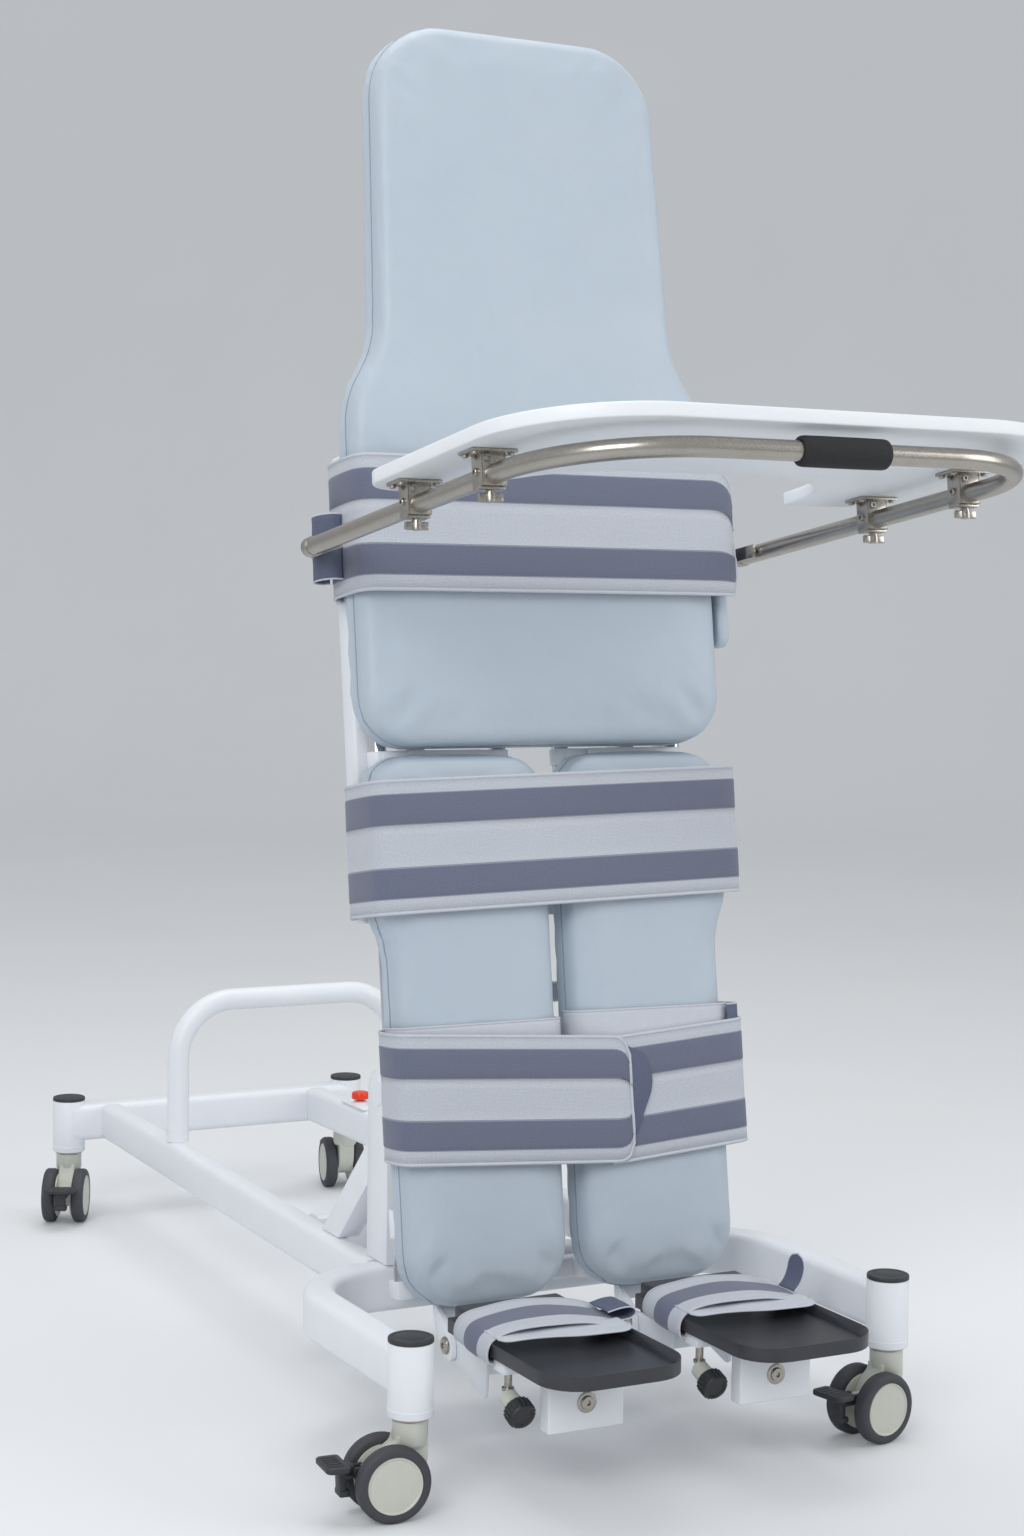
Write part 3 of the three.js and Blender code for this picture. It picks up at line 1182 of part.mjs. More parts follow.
function footPlate() {
  const half = PLATE_WIDTH / 2;
  const low = FOOT_BEAM_TOP + TOUCH_GAP;
  const outline = plateOutline(half, PLATE_START, PLATE_END, PLATE_CORNER);
  const inner = plateOutline(half - PLATE_RIM_WIDTH, PLATE_START + PLATE_RIM_WIDTH,
    PLATE_END - PLATE_RIM_WIDTH, PLATE_CORNER - PLATE_RIM_WIDTH);
  const tray = slabXY(outline, low, low + PLATE_RIM);
  const hollow = slabXY(inner, low + PLATE_FLOOR, low + PLATE_RIM + OVERRUN);
  const heelHalf = HEEL_WIDTH / 2;
  const heelDepth = [-PLATE_START - HEEL_LENGTH / 2, -PLATE_START + HEEL_LENGTH / 2];
  const heel = box([-heelHalf, heelHalf], heelDepth, [low, low + HEEL_HEIGHT]);
  const skirtInner = FOOT_BEAM_WIDTH / 2 + RUNNING_GAP;
  const skirtUp = [low - HEEL_DROP, low + PLATE_FLOOR];
  const rightSkirt = box([skirtInner, heelHalf], heelDepth, skirtUp);
  const leftSkirt = box([-heelHalf, -skirtInner], heelDepth, skirtUp);
  return join(cut(tray, hollow), heel, rightSkirt, leftSkirt);
}

function plateOutline(half, start, end, corner) {
  const shape = new THREE.Shape();
  shape.moveTo(half, -start);
  shape.lineTo(-half, -start);
  shape.absarc(-half + corner, -end + corner, corner, Math.PI, Math.PI * 3 / 2);
  shape.absarc(half - corner, -end + corner, corner, -Math.PI / 2, 0);
  return shape;
}

// The foot strap arches over the plate and tucks under both of its edges
function footStrap() {
  const tuck = FOOT_BEAM_TOP + TOUCH_GAP - SOFT_GAP - STRAP_THICKNESS / 2;
  const rise = FOOT_STRAP_TOP - tuck - STRAP_THICKNESS / 2;
  const points = [[-FOOT_STRAP_HALF + FOOT_STRAP_TUCK, tuck], [-FOOT_STRAP_HALF, tuck]];
  for (let i = 1; i < BEND_STEPS * 2; i += 1) {
    const turn = Math.PI - i / (BEND_STEPS * 2) * Math.PI;
    const bulge = Math.sign(Math.cos(turn)) * Math.sqrt(Math.abs(Math.cos(turn)));
    points.push([FOOT_STRAP_HALF * bulge, tuck + rise * Math.sqrt(Math.sin(turn))]);
  }
  points.push([FOOT_STRAP_HALF, tuck], [FOOT_STRAP_HALF - FOOT_STRAP_TUCK, tuck]);
  const front = -FOOT_STRAP_START - FOOT_STRAP_WIDTH;
  return slabXZ(bandShape(points, STRAP_THICKNESS), front, front + FOOT_STRAP_WIDTH);
}

// Tray, drawn in bed coordinates

function addTray(bed) {
  const tray = new THREE.Group();
  bed.add(tray);
  const board = slabXY(boardShape(), TRAY_BOARD_BOTTOM, TRAY_BOARD_BOTTOM + TRAY_BOARD_THICKNESS);
  piece(tray, 'tray_board', board, 'board');
  piece(tray, 'tray_tube', trayTube(), 'steel');
  piece(tray, 'tray_grip', trayGrip(), 'foam');
  for (const [name, side] of [['left', -1], ['right', 1]]) {
    CLAMP_PLACES.forEach((place, i) => {
      const end = i === 0 ? 'rear' : 'front';
      piece(tray, `${name}_${end}_tray_clamp`, trayClamp(side, place), 'steel');
    });
  }
}

function boardShape() {
  const half = TRAY_BOARD_HALF;
  const shape = new THREE.Shape();
  const corner = TRAY_BOARD_CORNER;
  const prong = TRAY_PRONG_CORNER;
  const steps = BEND_STEPS;
  shape.moveTo(-half, -TRAY_BOARD_BACK - prong);
  const arc = (x, y, radius, start) => {
    for (let i = 0; i <= steps; i += 1) {
      const turn = start + i / steps * Math.PI / 2;
      shape.lineTo(x + radius * Math.cos(turn), y + radius * Math.sin(turn));
    }
  };
  arc(-half + corner, -TRAY_BOARD_FRONT + corner, corner, Math.PI);
  arc(half - corner, -TRAY_BOARD_FRONT + corner, corner, -Math.PI / 2);
  arc(half - prong, -TRAY_BOARD_BACK - prong, prong, 0);
  const cutSteps = steps * 3;
  for (let i = 0; i <= cutSteps; i += 1) {
    const turn = -i / cutSteps * Math.PI;
    const across = Math.sign(Math.cos(turn)) * Math.pow(Math.abs(Math.cos(turn)), TRAY_CUT_POWER);
    const depth = TRAY_CUT_DEPTH * Math.pow(-Math.sin(turn), TRAY_CUT_POWER);
    shape.lineTo(TRAY_CUT_HALF * across, -TRAY_BOARD_BACK - depth);
  }
  arc(-half + prong, -TRAY_BOARD_BACK - prong, prong, Math.PI / 2);
  return shape;
}

function trayTube() {
  const x = TRAY_TUBE_X;
  const z = TRAY_HEIGHT;
  const back = -TRAY_TUBE_BACK;
  const corners = [[-x, back, z], [-x, -TRAY_REACH, z], [x, -TRAY_REACH, z], [x, back, z]];
  const caps = [-1, 1].map((side) => {
    const start = [side * x, back - TRAY_CAP_LENGTH / 2, z];
    const end = [side * x, back + TRAY_CAP_LENGTH, z];
    const dome = [side * x, back + TRAY_CAP_LENGTH + TRAY_CAP_DOME, z];
    const barrel = rod(start, end, TRAY_CAP_RADIUS, TUBE_SIDES);
    return join(barrel, rod(end, dome, TRAY_CAP_RADIUS, TUBE_SIDES, TRAY_CAP_END_RADIUS));
  });
  return join(bentTube(corners, TRAY_BEND, disc(TRAY_TUBE_RADIUS)), ...caps);
}

function trayGrip() {
  const line = (extra, radius) => rod([GRIP_START - extra, -TRAY_REACH, TRAY_HEIGHT],
    [GRIP_START + GRIP_LENGTH + extra, -TRAY_REACH, TRAY_HEIGHT], radius, TUBE_SIDES);
  return cut(line(0, GRIP_RADIUS), line(OVERRUN, TRAY_TUBE_RADIUS + TOUCH_GAP));
}

function trayClamp(side, place) {
  const x = side * TRAY_TUBE_X;
  const top = TRAY_BOARD_BOTTOM - TOUCH_GAP;
  const flange = box([x - CLAMP_FLANGE / 2, x + CLAMP_FLANGE / 2],
    [-place - CLAMP_FLANGE_LENGTH / 2, -place + CLAMP_FLANGE_LENGTH / 2], [top - CLAMP_SHEET, top]);
  const low = TRAY_HEIGHT - TRAY_TUBE_RADIUS - TOUCH_GAP - CLAMP_WALL;
  const block = box([x - CLAMP_WIDTH / 2, x + CLAMP_WIDTH / 2],
    [-place - CLAMP_LENGTH / 2, -place + CLAMP_LENGTH / 2], [low, top - CLAMP_SHEET / 2]);
  const tube = rod([x, -place - CLAMP_LENGTH, TRAY_HEIGHT], [x, -place + CLAMP_LENGTH, TRAY_HEIGHT],
    TRAY_TUBE_RADIUS + TOUCH_GAP, TUBE_SIDES);
  const tip = low - CLAMP_BOLT_DROP;
  const bolt = rod([x, -place, low + CLAMP_WALL / 2], [x, -place, tip], CLAMP_BOLT, SMALL_SIDES);
  const wing = box([x - WING_WIDTH / 2, x + WING_WIDTH / 2],
    [-place - WING_THICKNESS / 2, -place + WING_THICKNESS / 2], [tip, tip + WING_HEIGHT]);
  return join(cut(join(flange, block), tube), bolt, wing);
}

// Actuator, drawn along Z from its lower pin

function actuatorEye() {
  const lean = new THREE.Vector2(CRANK_LENGTH, PIVOT_BACK - CRANK_BACK);
  const y = PIVOT_Y + lean.x * Math.sin(BED_LEAN) - lean.y * Math.cos(BED_LEAN);
  const z = PIVOT_Z + lean.x * Math.cos(BED_LEAN) + lean.y * Math.sin(BED_LEAN);
  return new THREE.Vector2(y, z);
}

function addActuator(table) {
  const group = new THREE.Group();
  const along = actuatorEye().sub(new THREE.Vector2(ACTUATOR_Y, ACTUATOR_Z));
  group.position.set(0, ACTUATOR_Y, ACTUATOR_Z);
  group.rotation.x = Math.atan2(-along.x, along.y);
  table.add(group);
  piece(group, 'actuator_body', actuatorBody(), 'motor');
  piece(group, 'actuator_rod', actuatorRod(along.length()), 'chrome');
}

function actuatorBody() {
  const half = ACTUATOR_HOUSING / 2;
  const eyeHalf = CLEVIS_HALF_GAP - RUNNING_GAP;
  const eyeOutline = eyeShape([0, 0], [0, ACTUATOR_HOUSING_START + OVERRUN], ACTUATOR_EYE);
  const eye = slabYZ(eyeOutline, -eyeHalf, eyeHalf);
  const housing = slabXY(roundedRect(-half, MOTOR_OFFSET + half, -half, half, TUBE_CORNER),
    ACTUATOR_HOUSING_START, ACTUATOR_HOUSING_END);
  const tube = rod([0, 0, ACTUATOR_HOUSING_START], [0, 0, ACTUATOR_TUBE_END], ACTUATOR_TUBE);
  const motorStart = ACTUATOR_HOUSING_START + OVERRUN;
  const motor = rod([MOTOR_OFFSET, 0, motorStart], [MOTOR_OFFSET, 0, MOTOR_END], MOTOR_RADIUS);
  const rodHole = bore([0, 0, ACTUATOR_BORE_START], [0, 0, ACTUATOR_TUBE_END + OVERRUN],
    ROD_RADIUS, TUBE_SIDES);
  const pinHole = bore([-half, 0, 0], [half, 0, 0], CLEVIS_PIN, SMALL_SIDES);
  return cut(join(eye, housing, tube, motor), rodHole, pinHole);
}

function actuatorRod(length) {
  const shaft = rod([0, 0, length - ROD_LENGTH], [0, 0, length], ROD_RADIUS, TUBE_SIDES);
  const root = [0, length - ROD_EYE_ROOT];
  const eye = slabYZ(eyeShape([0, length], root, ROD_EYE_RADIUS), -ROD_EYE_HALF, ROD_EYE_HALF);
  const pinReach = ROD_EYE_HALF + OVERRUN;
  const pinHole = bore([-pinReach, 0, length], [pinReach, 0, length], CLEVIS_PIN, SMALL_SIDES);
  return cut(join(shaft, eye), pinHole);
}

// Assembly

function addBed(table) {
  const pivot = new THREE.Group();
  pivot.position.set(0, PIVOT_Y, PIVOT_Z);
  pivot.rotation.x = -BED_LEAN;
  table.add(pivot);
  const bed = new THREE.Group();
  bed.position.set(0, -PIVOT_BACK, -PIVOT_UP);
  pivot.add(bed);
  addBedFrame(bed);
  addGuideTubes(bed);
  addTorso(bed);
  addStraps(bed);
  addLeg(bed, 'left', -1);
  addLeg(bed, 'right', 1);
  addTray(bed);
}

function addBase(table) {
  addFrontBow(table);
  addRearCrossbar(table);
  for (const [name, side] of [['left', -1], ['right', 1]]) {
    addRail(table, `${name}_rail`, side);
    addColumn(table, `${name}_column`, side);
    addPostCap(table, `front_${name}`, side * FRONT_TRACK / 2, 0);
    addPostCap(table, `rear_${name}`, side * REAR_TRACK / 2, WHEELBASE);
    addCaster(table, `front_${name}`, side * FRONT_TRACK / 2, 0);
    addCaster(table, `rear_${name}`, side * REAR_TRACK / 2, WHEELBASE);
  }
  addRestBow(table);
  addActuatorCrossbar(table);
  addEmergencyStop(table);
}

// The origin is on the floor under the middle of the whole object
function centred(table) {
  table.updateMatrixWorld(true);
  const bounds = new THREE.Box3().setFromObject(table, true);
  const middle = bounds.getCenter(new THREE.Vector3());
  table.position.set(-middle.x, -middle.y, -bounds.min.z);
  return table;
}

const table = new THREE.Group();
addBase(table);
addActuator(table);
addBed(table);

export default centred(table);
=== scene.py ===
# Physiotherapy tilt table: a wheeled steel base, a cushioned bed raised nearly upright,
# two sliding leg sections with foot plates, three body straps and a tray on a bent steel tube.
# Shapes are drawn in millimetres and placed by the matrices below.

import math

import bmesh
import bpy
from bmesh.types import BMEdge, BMFace, BMVert
from mathutils import Matrix, Vector, noise
from mathutils.bvhtree import BVHTree


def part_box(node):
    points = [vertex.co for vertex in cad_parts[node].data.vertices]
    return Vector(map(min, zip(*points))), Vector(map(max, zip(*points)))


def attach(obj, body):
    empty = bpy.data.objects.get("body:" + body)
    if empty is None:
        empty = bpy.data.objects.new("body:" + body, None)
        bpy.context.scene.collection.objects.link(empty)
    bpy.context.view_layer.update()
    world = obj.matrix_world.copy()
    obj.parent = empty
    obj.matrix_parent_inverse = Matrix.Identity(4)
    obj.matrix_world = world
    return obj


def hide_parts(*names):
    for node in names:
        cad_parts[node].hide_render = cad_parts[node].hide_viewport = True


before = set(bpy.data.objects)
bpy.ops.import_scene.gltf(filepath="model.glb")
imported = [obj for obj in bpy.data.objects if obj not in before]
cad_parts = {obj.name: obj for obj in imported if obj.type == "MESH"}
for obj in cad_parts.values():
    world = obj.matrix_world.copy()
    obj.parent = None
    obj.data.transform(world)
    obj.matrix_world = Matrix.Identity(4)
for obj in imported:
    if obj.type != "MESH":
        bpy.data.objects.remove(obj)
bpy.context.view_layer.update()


def at(x, y, z=0):
    return Matrix.Translation((x, y, z))


def rotated(degrees, axis):
    return Matrix.Rotation(math.radians(degrees), 4, axis)


def new_object(name, data):
    """A new object in the scene."""
    item = bpy.data.objects.new(name, data)
    bpy.context.collection.objects.link(item)
    return item


# Places. The floor's zero is midway between the front posts, with X across and Y to the rear.

FRONT_TRACK = 746.6
REAR_TRACK = 570.6
WHEELBASE = 1713.6
CAP_LOW = 225.3
PIVOT_BACK = 413
PIVOT_UP = 464.5
cap_low, cap_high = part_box("front_left_post_cap")
FLOOR = (
    at((cap_low.x + cap_high.x) / 2, (cap_low.y + cap_high.y) / 2, cap_low.z)
    @ Matrix.Scale(0.001, 4)
    @ at(FRONT_TRACK / 2, 0, -CAP_LOW)
)

# The bed's own directions: X across, Y back from the cushions' front, Z up the bed.
# It turns on the base's pivot by its lugs, and each foot turns on its ankle.
LEAN = 8
LUG_BACK = 162.7
LUG_UP = 301.4
LEG_CENTRE = 147
ANKLE_BACK = 37
ANKLE_UP = -49
BED = FLOOR @ at(0, PIVOT_BACK, PIVOT_UP) @ rotated(-LEAN, "X") @ at(0, -LUG_BACK, -LUG_UP)
SIDES = {"left": -1, "right": 1}
FOOT = {
    side: BED @ at(sign * LEG_CENTRE, ANKLE_BACK, ANKLE_UP) @ rotated(LEAN, "X")
    for side, sign in SIDES.items()
}

# Each caster's place across and back, and its heading in degrees
CASTERS = {
    "front_left": (-FRONT_TRACK / 2, 0, 175),
    "front_right": (FRONT_TRACK / 2, 0, 190),
    "rear_left": (-REAR_TRACK / 2, WHEELBASE, 242.5),
    "rear_right": (REAR_TRACK / 2, WHEELBASE, 78),
}

# Turns for shapes that are drawn flat in X and Y
STANDING = Matrix(((1, 0, 0, 0), (0, 0, 1, 0), (0, 1, 0, 0), (0, 0, 0, 1)))
SIDEWAYS = Matrix(((0, 0, 1, 0), (1, 0, 0, 0), (0, 1, 0, 0), (0, 0, 0, 1)))


# Camera, at the photograph's viewpoint, placed in millimetres on the floor and turned in radians

CAMERA_PLACE = (-1753.15, -2922.03, 1166.27)
CAMERA_YAW = 0.4783
CAMERA_PITCH = 0.0626
CAMERA_ROLL = 0.0134
CAMERA_LENS = 59.889

bpy.context.scene.view_settings.view_transform = "Standard"
camera_data = bpy.data.cameras.new("camera")
camera_data.lens = CAMERA_LENS
camera_data.sensor_width = 36
camera = new_object("camera", camera_data)
bpy.context.scene.camera = camera
camera.matrix_world = (
    at(*(FLOOR @ Vector(CAMERA_PLACE)))
    @ Matrix.Rotation(-CAMERA_YAW, 4, "Z")
    @ Matrix.Rotation(math.pi / 2 - CAMERA_PITCH, 4, "X")
    @ Matrix.Rotation(CAMERA_ROLL, 4, "Z")
)


# Materials

def linear(code):
    """A hex colour as the linear values that a shader takes."""
    channels = [int(code[i:i + 2], 16) / 255 for i in (0, 2, 4)]
    return [c / 12.92 if c <= 0.04045 else ((c + 0.055) / 1.055) ** 2.4 for c in channels] + [1]


def plug(tree, node, inputs):
    """Gives each of these inputs a value or another node's output."""
    for socket, value in inputs.items():
        if isinstance(value, bpy.types.NodeSocket):
            tree.links.new(value, node.inputs[socket])
        else:
            node.inputs[socket].default_value = value


def add(tree, kind, inputs, output=0, **settings):
    """Adds a node and returns one of its outputs."""
    made = tree.nodes.new(kind)
    for key, value in settings.items():
        setattr(made, key, value)
    plug(tree, made, inputs)
    return made.outputs[output]


def patchy(tree, place, scale, detail, roughness=0.5):
    """Noise with values around a half."""
    return add(tree, "ShaderNodeTexNoise", {
        "Vector": place, "Scale": scale, "Detail": detail, "Roughness": roughness})


def ranged(tree, value, start, end):
    """A value moved from the range of start to that of end."""
    return add(tree, "ShaderNodeMapRange", {
        "Value": value, "From Min": start[0], "From Max": start[1], "To Min": end[0], "To Max": end[1]})


def between(tree, share, colours):
    """A colour that lies this share of the way between two hex colours."""
    return add(tree, "ShaderNodeMix", {0: share, 6: linear(colours[0]), 7: linear(colours[1])}, 2,
               data_type="RGBA")


def bumpy(tree, height, strength, distance, **more):
    return add(tree, "ShaderNodeBump", {
        "Height": height, "Strength": strength, "Distance": distance, **more})


def begin(name, roughness, metallic=0.0):
    """A new material with its shader's own values set."""
    material = bpy.data.materials.new(name)
    material.use_nodes = True
    tree = material.node_tree
    shader = tree.nodes["Principled BSDF"]
    plug(tree, shader, {"Roughness": roughness, "Metallic": metallic})
    return material, tree, shader


def surface(name, colours, spot, roughness, grain, height, metallic=0.0, stretch=(1, 1, 1), spread=0.08):
    """A surface that varies between two colours in patches of spot millimetres.

    Its fine grain is given in millimetres too, across and high.
    """
    material, tree, shader = begin(name, roughness, metallic)
    place = add(tree, "ShaderNodeTexCoord", {}, "Object")
    along = add(tree, "ShaderNodeMapping", {"Vector": place, "Scale": stretch})
    fine = patchy(tree, along, 1000 / grain, 3)
    plug(tree, shader, {
        "Base Color": between(tree, patchy(tree, place, 1000 / spot, 4, 0.6), colours),
        "Roughness": ranged(tree, fine, (0.3, 0.7), (roughness - spread, roughness + spread)),
        "Normal": bumpy(tree, fine, 1.0, height / 1000)})
    return material


# Polyester powder coat on blasted steel tube, baked: a satin white with a faint orange peel.
# The real peel is about 1.5 mm from crest to crest, drawn at 4 mm so that it shows.
powder_coat = surface("powder_coat", ("EEF1F6", "E6EAF0"), 90, 0.36, 4, 0.05)

# Stainless steel tube, belt polished: a warm grey with fine lines round the tube.
stainless = surface("stainless_steel", ("B9B4AC", "A8A39B"), 25, 0.27, 1.5, 0.02,
                    metallic=1.0, stretch=(1, 6, 1), spread=0.1)

# Hard chrome on precision tube: bright and smooth, with only a faint haze.
chrome = surface("hard_chrome", ("D9D9DB", "CDCED1"), 40, 0.12, 3, 0.006, metallic=1.0, spread=0.04)

# Glass filled nylon, injection moulded against a sparked tool: matt black with a fine pebble.
black_nylon = surface("black_nylon", ("2C2E32", "35373B"), 14, 0.5, 1.2, 0.05)

# ABS tray, moulded: charcoal, smoother than the nylon, scuffed a little where shoes rub.
charcoal_abs = surface("charcoal_abs", ("303136", "3B3C42"), 30, 0.38, 1.6, 0.04, spread=0.1)

# Polypropylene caster housing and hub discs, moulded in a warm grey with a soft lustre.
caster_shell = surface("caster_polypropylene", ("CDCFC5", "C3C6BB"), 22, 0.4, 2, 0.04)

# Thermoplastic rubber tread: dull blue grey, dusted by the floor.
tread = surface("tread_rubber", ("3C3C43", "47474E"), 9, 0.62, 1.5, 0.08)

# Melamine faced board with a bonded edge band: cool white and nearly smooth.
laminate = surface("melamine_board", ("F1F4F7", "E9EEF2"), 160, 0.42, 5, 0.02)

# Closed cell rubber foam sleeve: black, with an open matt skin.
foam_skin = surface("rubber_foam", ("18191B", "232427"), 6, 0.72, 1.4, 0.16)

# Acrylic mushroom head, moulded in signal red with a clear gloss.
signal_red = surface("signal_red_acrylic", ("F53E10", "E63509"), 10, 0.25, 2, 0.02)

# Actuator housing, moulded in dark grey polyamide.
housing_grey = surface("housing_polyamide", ("55585C", "4D5054"), 20, 0.5, 1.5, 0.05)

# Polyester sewing thread, a tone darker than the cover that it closes.
seam_thread = surface("seam_thread", ("8FA0B0", "8394A5"), 3, 0.7, 0.8, 0.1)

# Cotton bias tape that binds the straps' edges.
bias_tape = surface("bias_tape", ("C9CDD6", "BCC1CB"), 5, 0.8, 0.9, 0.14)

# Hook and loop lining on the back of the straps: a navy grey pile.
pile_lining = surface("pile_lining", ("666C82", "575D73"), 4, 0.9, 1.1, 0.3)


def make_leatherette():
    """PVC coated knit, embossed: pale blue, with a pebbled skin that catches a soft sheen.

    The real pebble is about 1 mm across, drawn at 2.4 mm so that it shows.
    """
    material, tree, shader = begin("pvc_leatherette", 0.46)
    place = add(tree, "ShaderNodeTexCoord", {}, "Object")
    pull = patchy(tree, place, 1000 / 45, 2)
    pebble = add(tree, "ShaderNodeTexVoronoi", {"Vector": place, "Scale": 1000 / 2.4},
                 feature="DISTANCE_TO_EDGE")
    plug(tree, shader, {
        "Base Color": between(tree, patchy(tree, place, 1000 / 140, 3, 0.55), ("B2BFCB", "BCC8D3")),
        "Roughness": ranged(tree, pull, (0.3, 0.7), (0.41, 0.5)),
        "Normal": bumpy(tree, ranged(tree, pebble, (0, 0.25), (0, 1)), 0.5, 0.0001,
                        Normal=bumpy(tree, pull, 1.0, 0.0016)),
        "Sheen Weight": 0.15,
        "Sheen Roughness": 0.4})
    return material


leatherette = make_leatherette()


# Where the slate tapes start and end, as shares of a strap's width from its top edge
BODY_STRIPE_SHARES = [(0.10, 0.33), (0.66, 0.89)]
FOOT_STRIPE_SHARES = [(0.31, 0.69)]
STITCH_SHARE = 0.009
THREAD_GAP = 2


def make_webbing(name, width, stripes):
    """Woven polyester band in light grey, with slate tapes sewn along it.

    Reads the band's own map: metres along it, and the share across it from its top edge.
    The real threads are 0.8 mm apart, drawn further apart so that they show.
    """
    material, tree, shader = begin(name, 0.82)
    place = add(tree, "ShaderNodeUVMap", {}, uv_map="band")
    across = add(tree, "ShaderNodeSeparateXYZ", {"Vector": place}, 1)
    tapes = add(tree, "ShaderNodeValToRGB", {"Fac": across})
    ramp = tapes.node.color_ramp
    ramp.interpolation = "CONSTANT"
    light, slate, stitch = linear("C3C8D1"), linear("6C7287"), linear("8D93A3")
    edge = STITCH_SHARE / 2
    ramp.elements[0].color = light
    ramp.elements[1].position = stripes[0][0] - edge
    ramp.elements[1].color = stitch
    for start, end in stripes:
        if start != stripes[0][0]:
            ramp.elements.new(start - edge).color = stitch
        ramp.elements.new(start + edge).color = slate
        ramp.elements.new(end - edge).color = stitch
        ramp.elements.new(end + edge).color = light
    size = add(tree, "ShaderNodeMapping", {
        "Vector": place, "Scale": (1000 / THREAD_GAP, width / THREAD_GAP, 1)})
    threads = {"Vector": size, "Scale": 0.32, "Distortion": 0.6, "Detail": 1}
    warp, weft = [add(tree, "ShaderNodeTexWave", threads, "Fac", bands_direction=axis) for axis in "XY"]
    weave = add(tree, "ShaderNodeMath", {0: warp, 1: weft}, operation="MULTIPLY")
    melange = ranged(tree, patchy(tree, size, 0.8, 4, 0.75), (0.35, 0.65), (0.9, 1.1))
    # Painted shade and light in the colour: darker in the weave's hollows, lighter on its crossings. The tone
    # below is the random melange times this painted shade.
    weave_painted_shade = ranged(tree, weave, (0, 1), (0.93, 1.05))
    tone = add(tree, "ShaderNodeMath", {0: melange, 1: weave_painted_shade}, operation="MULTIPLY")
    plug(tree, shader, {
        "Base Color": add(tree, "ShaderNodeVectorMath", {0: tapes, "Scale": tone}, operation="SCALE"),
        "Normal": bumpy(tree, weave, 0.8, 0.0004),
        "Sheen Weight": 0.2})
    return material


body_webbing = make_webbing("body_webbing", 182, BODY_STRIPE_SHARES)
foot_webbing = make_webbing("foot_webbing", 85, FOOT_STRIPE_SHARES)

# The same band without tapes
plain_webbing = surface("plain_webbing", ("CDD1D9", "C2C7D0"), 7, 0.84, 1.2, 0.3)


# Shapes. Each adds to the mesh that it is given. A corner is (x, y, reach of its rounding).

def bevel(bm, parts, reach, steps, affect="EDGES"):
    return bmesh.ops.bevel(bm, geom=parts, offset=reach, offset_type="OFFSET", segments=steps,
                           profile=0.5, affect=affect, clamp_overlap=True, material=-1)


def soften(bm, verts, edge, steps=2, least=30):
    """Rounds the edges at these vertices that turn by more than least degrees."""
    bm.normal_update()
    edges = {e for v in verts for e in v.link_edges
             if len(e.link_faces) == 2 and e.calc_face_angle() > math.radians(least)}
    bevel(bm, list(edges), edge, steps)


def on_side(sign, near, far):
    """Two bounds on one side of the middle, the lower one first."""
    return sorted((sign * near, sign * far))


def block(bm, x, y, z, edge=0.0, steps=2, turn=Matrix()):
    """A block between these bounds."""
    place = at(*[sum(pair) / 2 for pair in (x, y, z)])
    size = Matrix.Diagonal([pair[1] - pair[0] for pair in (x, y, z)] + [1])
    verts = bmesh.ops.create_cube(bm, size=1, matrix=turn @ place @ size)["verts"]
    if edge:
        soften(bm, verts, edge, steps)


def bar(bm, start, end, radius, far_radius=None, sides=36, edge=0.0):
    """A round bar from start to end, closed at both ends."""
    start, end = Vector(start), Vector(end)
    along = end - start
    place = at(*((start + end) / 2)) @ along.to_track_quat("Z", "Y").to_matrix().to_4x4()
    far = radius if far_radius is None else far_radius
    verts = bmesh.ops.create_cone(bm, cap_ends=True, cap_tris=False, segments=sides, radius1=radius,
                                  radius2=far, depth=along.length, matrix=place)["verts"]
    if edge:
        soften(bm, verts, edge)


def turned(bm, profile, place=Matrix(), sides=48):
    """A profile of (radius, height) points, turned round Z."""
    verts = [bm.verts.new((radius, 0, height)) for radius, height in profile]
    edges = [bm.edges.new(pair) for pair in zip(verts, verts[1:])]
    bmesh.ops.spin(bm, geom=verts + edges, cent=(0, 0, 0), axis=(0, 0, 1), angle=2 * math.pi,
                   steps=sides, use_merge=True)
    made = set(verts)
    while True:
        near = {e.other_vert(v) for v in made for e in v.link_edges} - made
        if not near:
            break
        made |= near
    bmesh.ops.remove_doubles(bm, verts=list(made), dist=0.001)
    made = [v for v in made if v.is_valid]
    bmesh.ops.transform(bm, matrix=place, verts=made)


def only(kind, parts):
    return [part for part in parts if isinstance(part, kind)]


def rectangle(x, y, reach=0):
    """The corners of a rectangle between these bounds."""
    return [(x[0], y[0], reach), (x[1], y[0], reach), (x[1], y[1], reach), (x[0], y[1], reach)]


def both_sides(half):
    """The corners of a symmetric outline, from those of its right half."""
    mirrored = [(-x, y, reach) for x, y, reach in half]
    return mirrored[:1] + half + mirrored[:0:-1]


def outline(bm, corners, steps=8):
    """A flat face through corners of (x, y, reach), each rounded over its reach along both edges."""
    verts = [bm.verts.new((x, y, 0)) for x, y, _ in corners]
    bm.faces.new(verts)
    made = set(verts)
    for vert, (_, _, reach) in zip(verts, corners):
        if reach:
            made.discard(vert)
            made.update(bevel(bm, [vert], reach, steps, "VERTICES")["verts"])
    any_vert = next(iter(v for v in made if v.is_valid))
    return any_vert.link_faces[0]


def extrude(bm, corners, low, high, rounding):
    """A flat face at low, carried along Z to high. Returns both rims and the new face."""
    face = outline(bm, corners, rounding)
    verts = list(face.verts)
    bmesh.ops.translate(bm, verts=verts, vec=(0, 0, low))
    made = bmesh.ops.extrude_face_region(bm, geom=[face])["geom"]
    top = only(BMVert, made)
    bmesh.ops.translate(bm, verts=top, vec=(0, 0, high - low))
    return verts, top, only(BMFace, made)


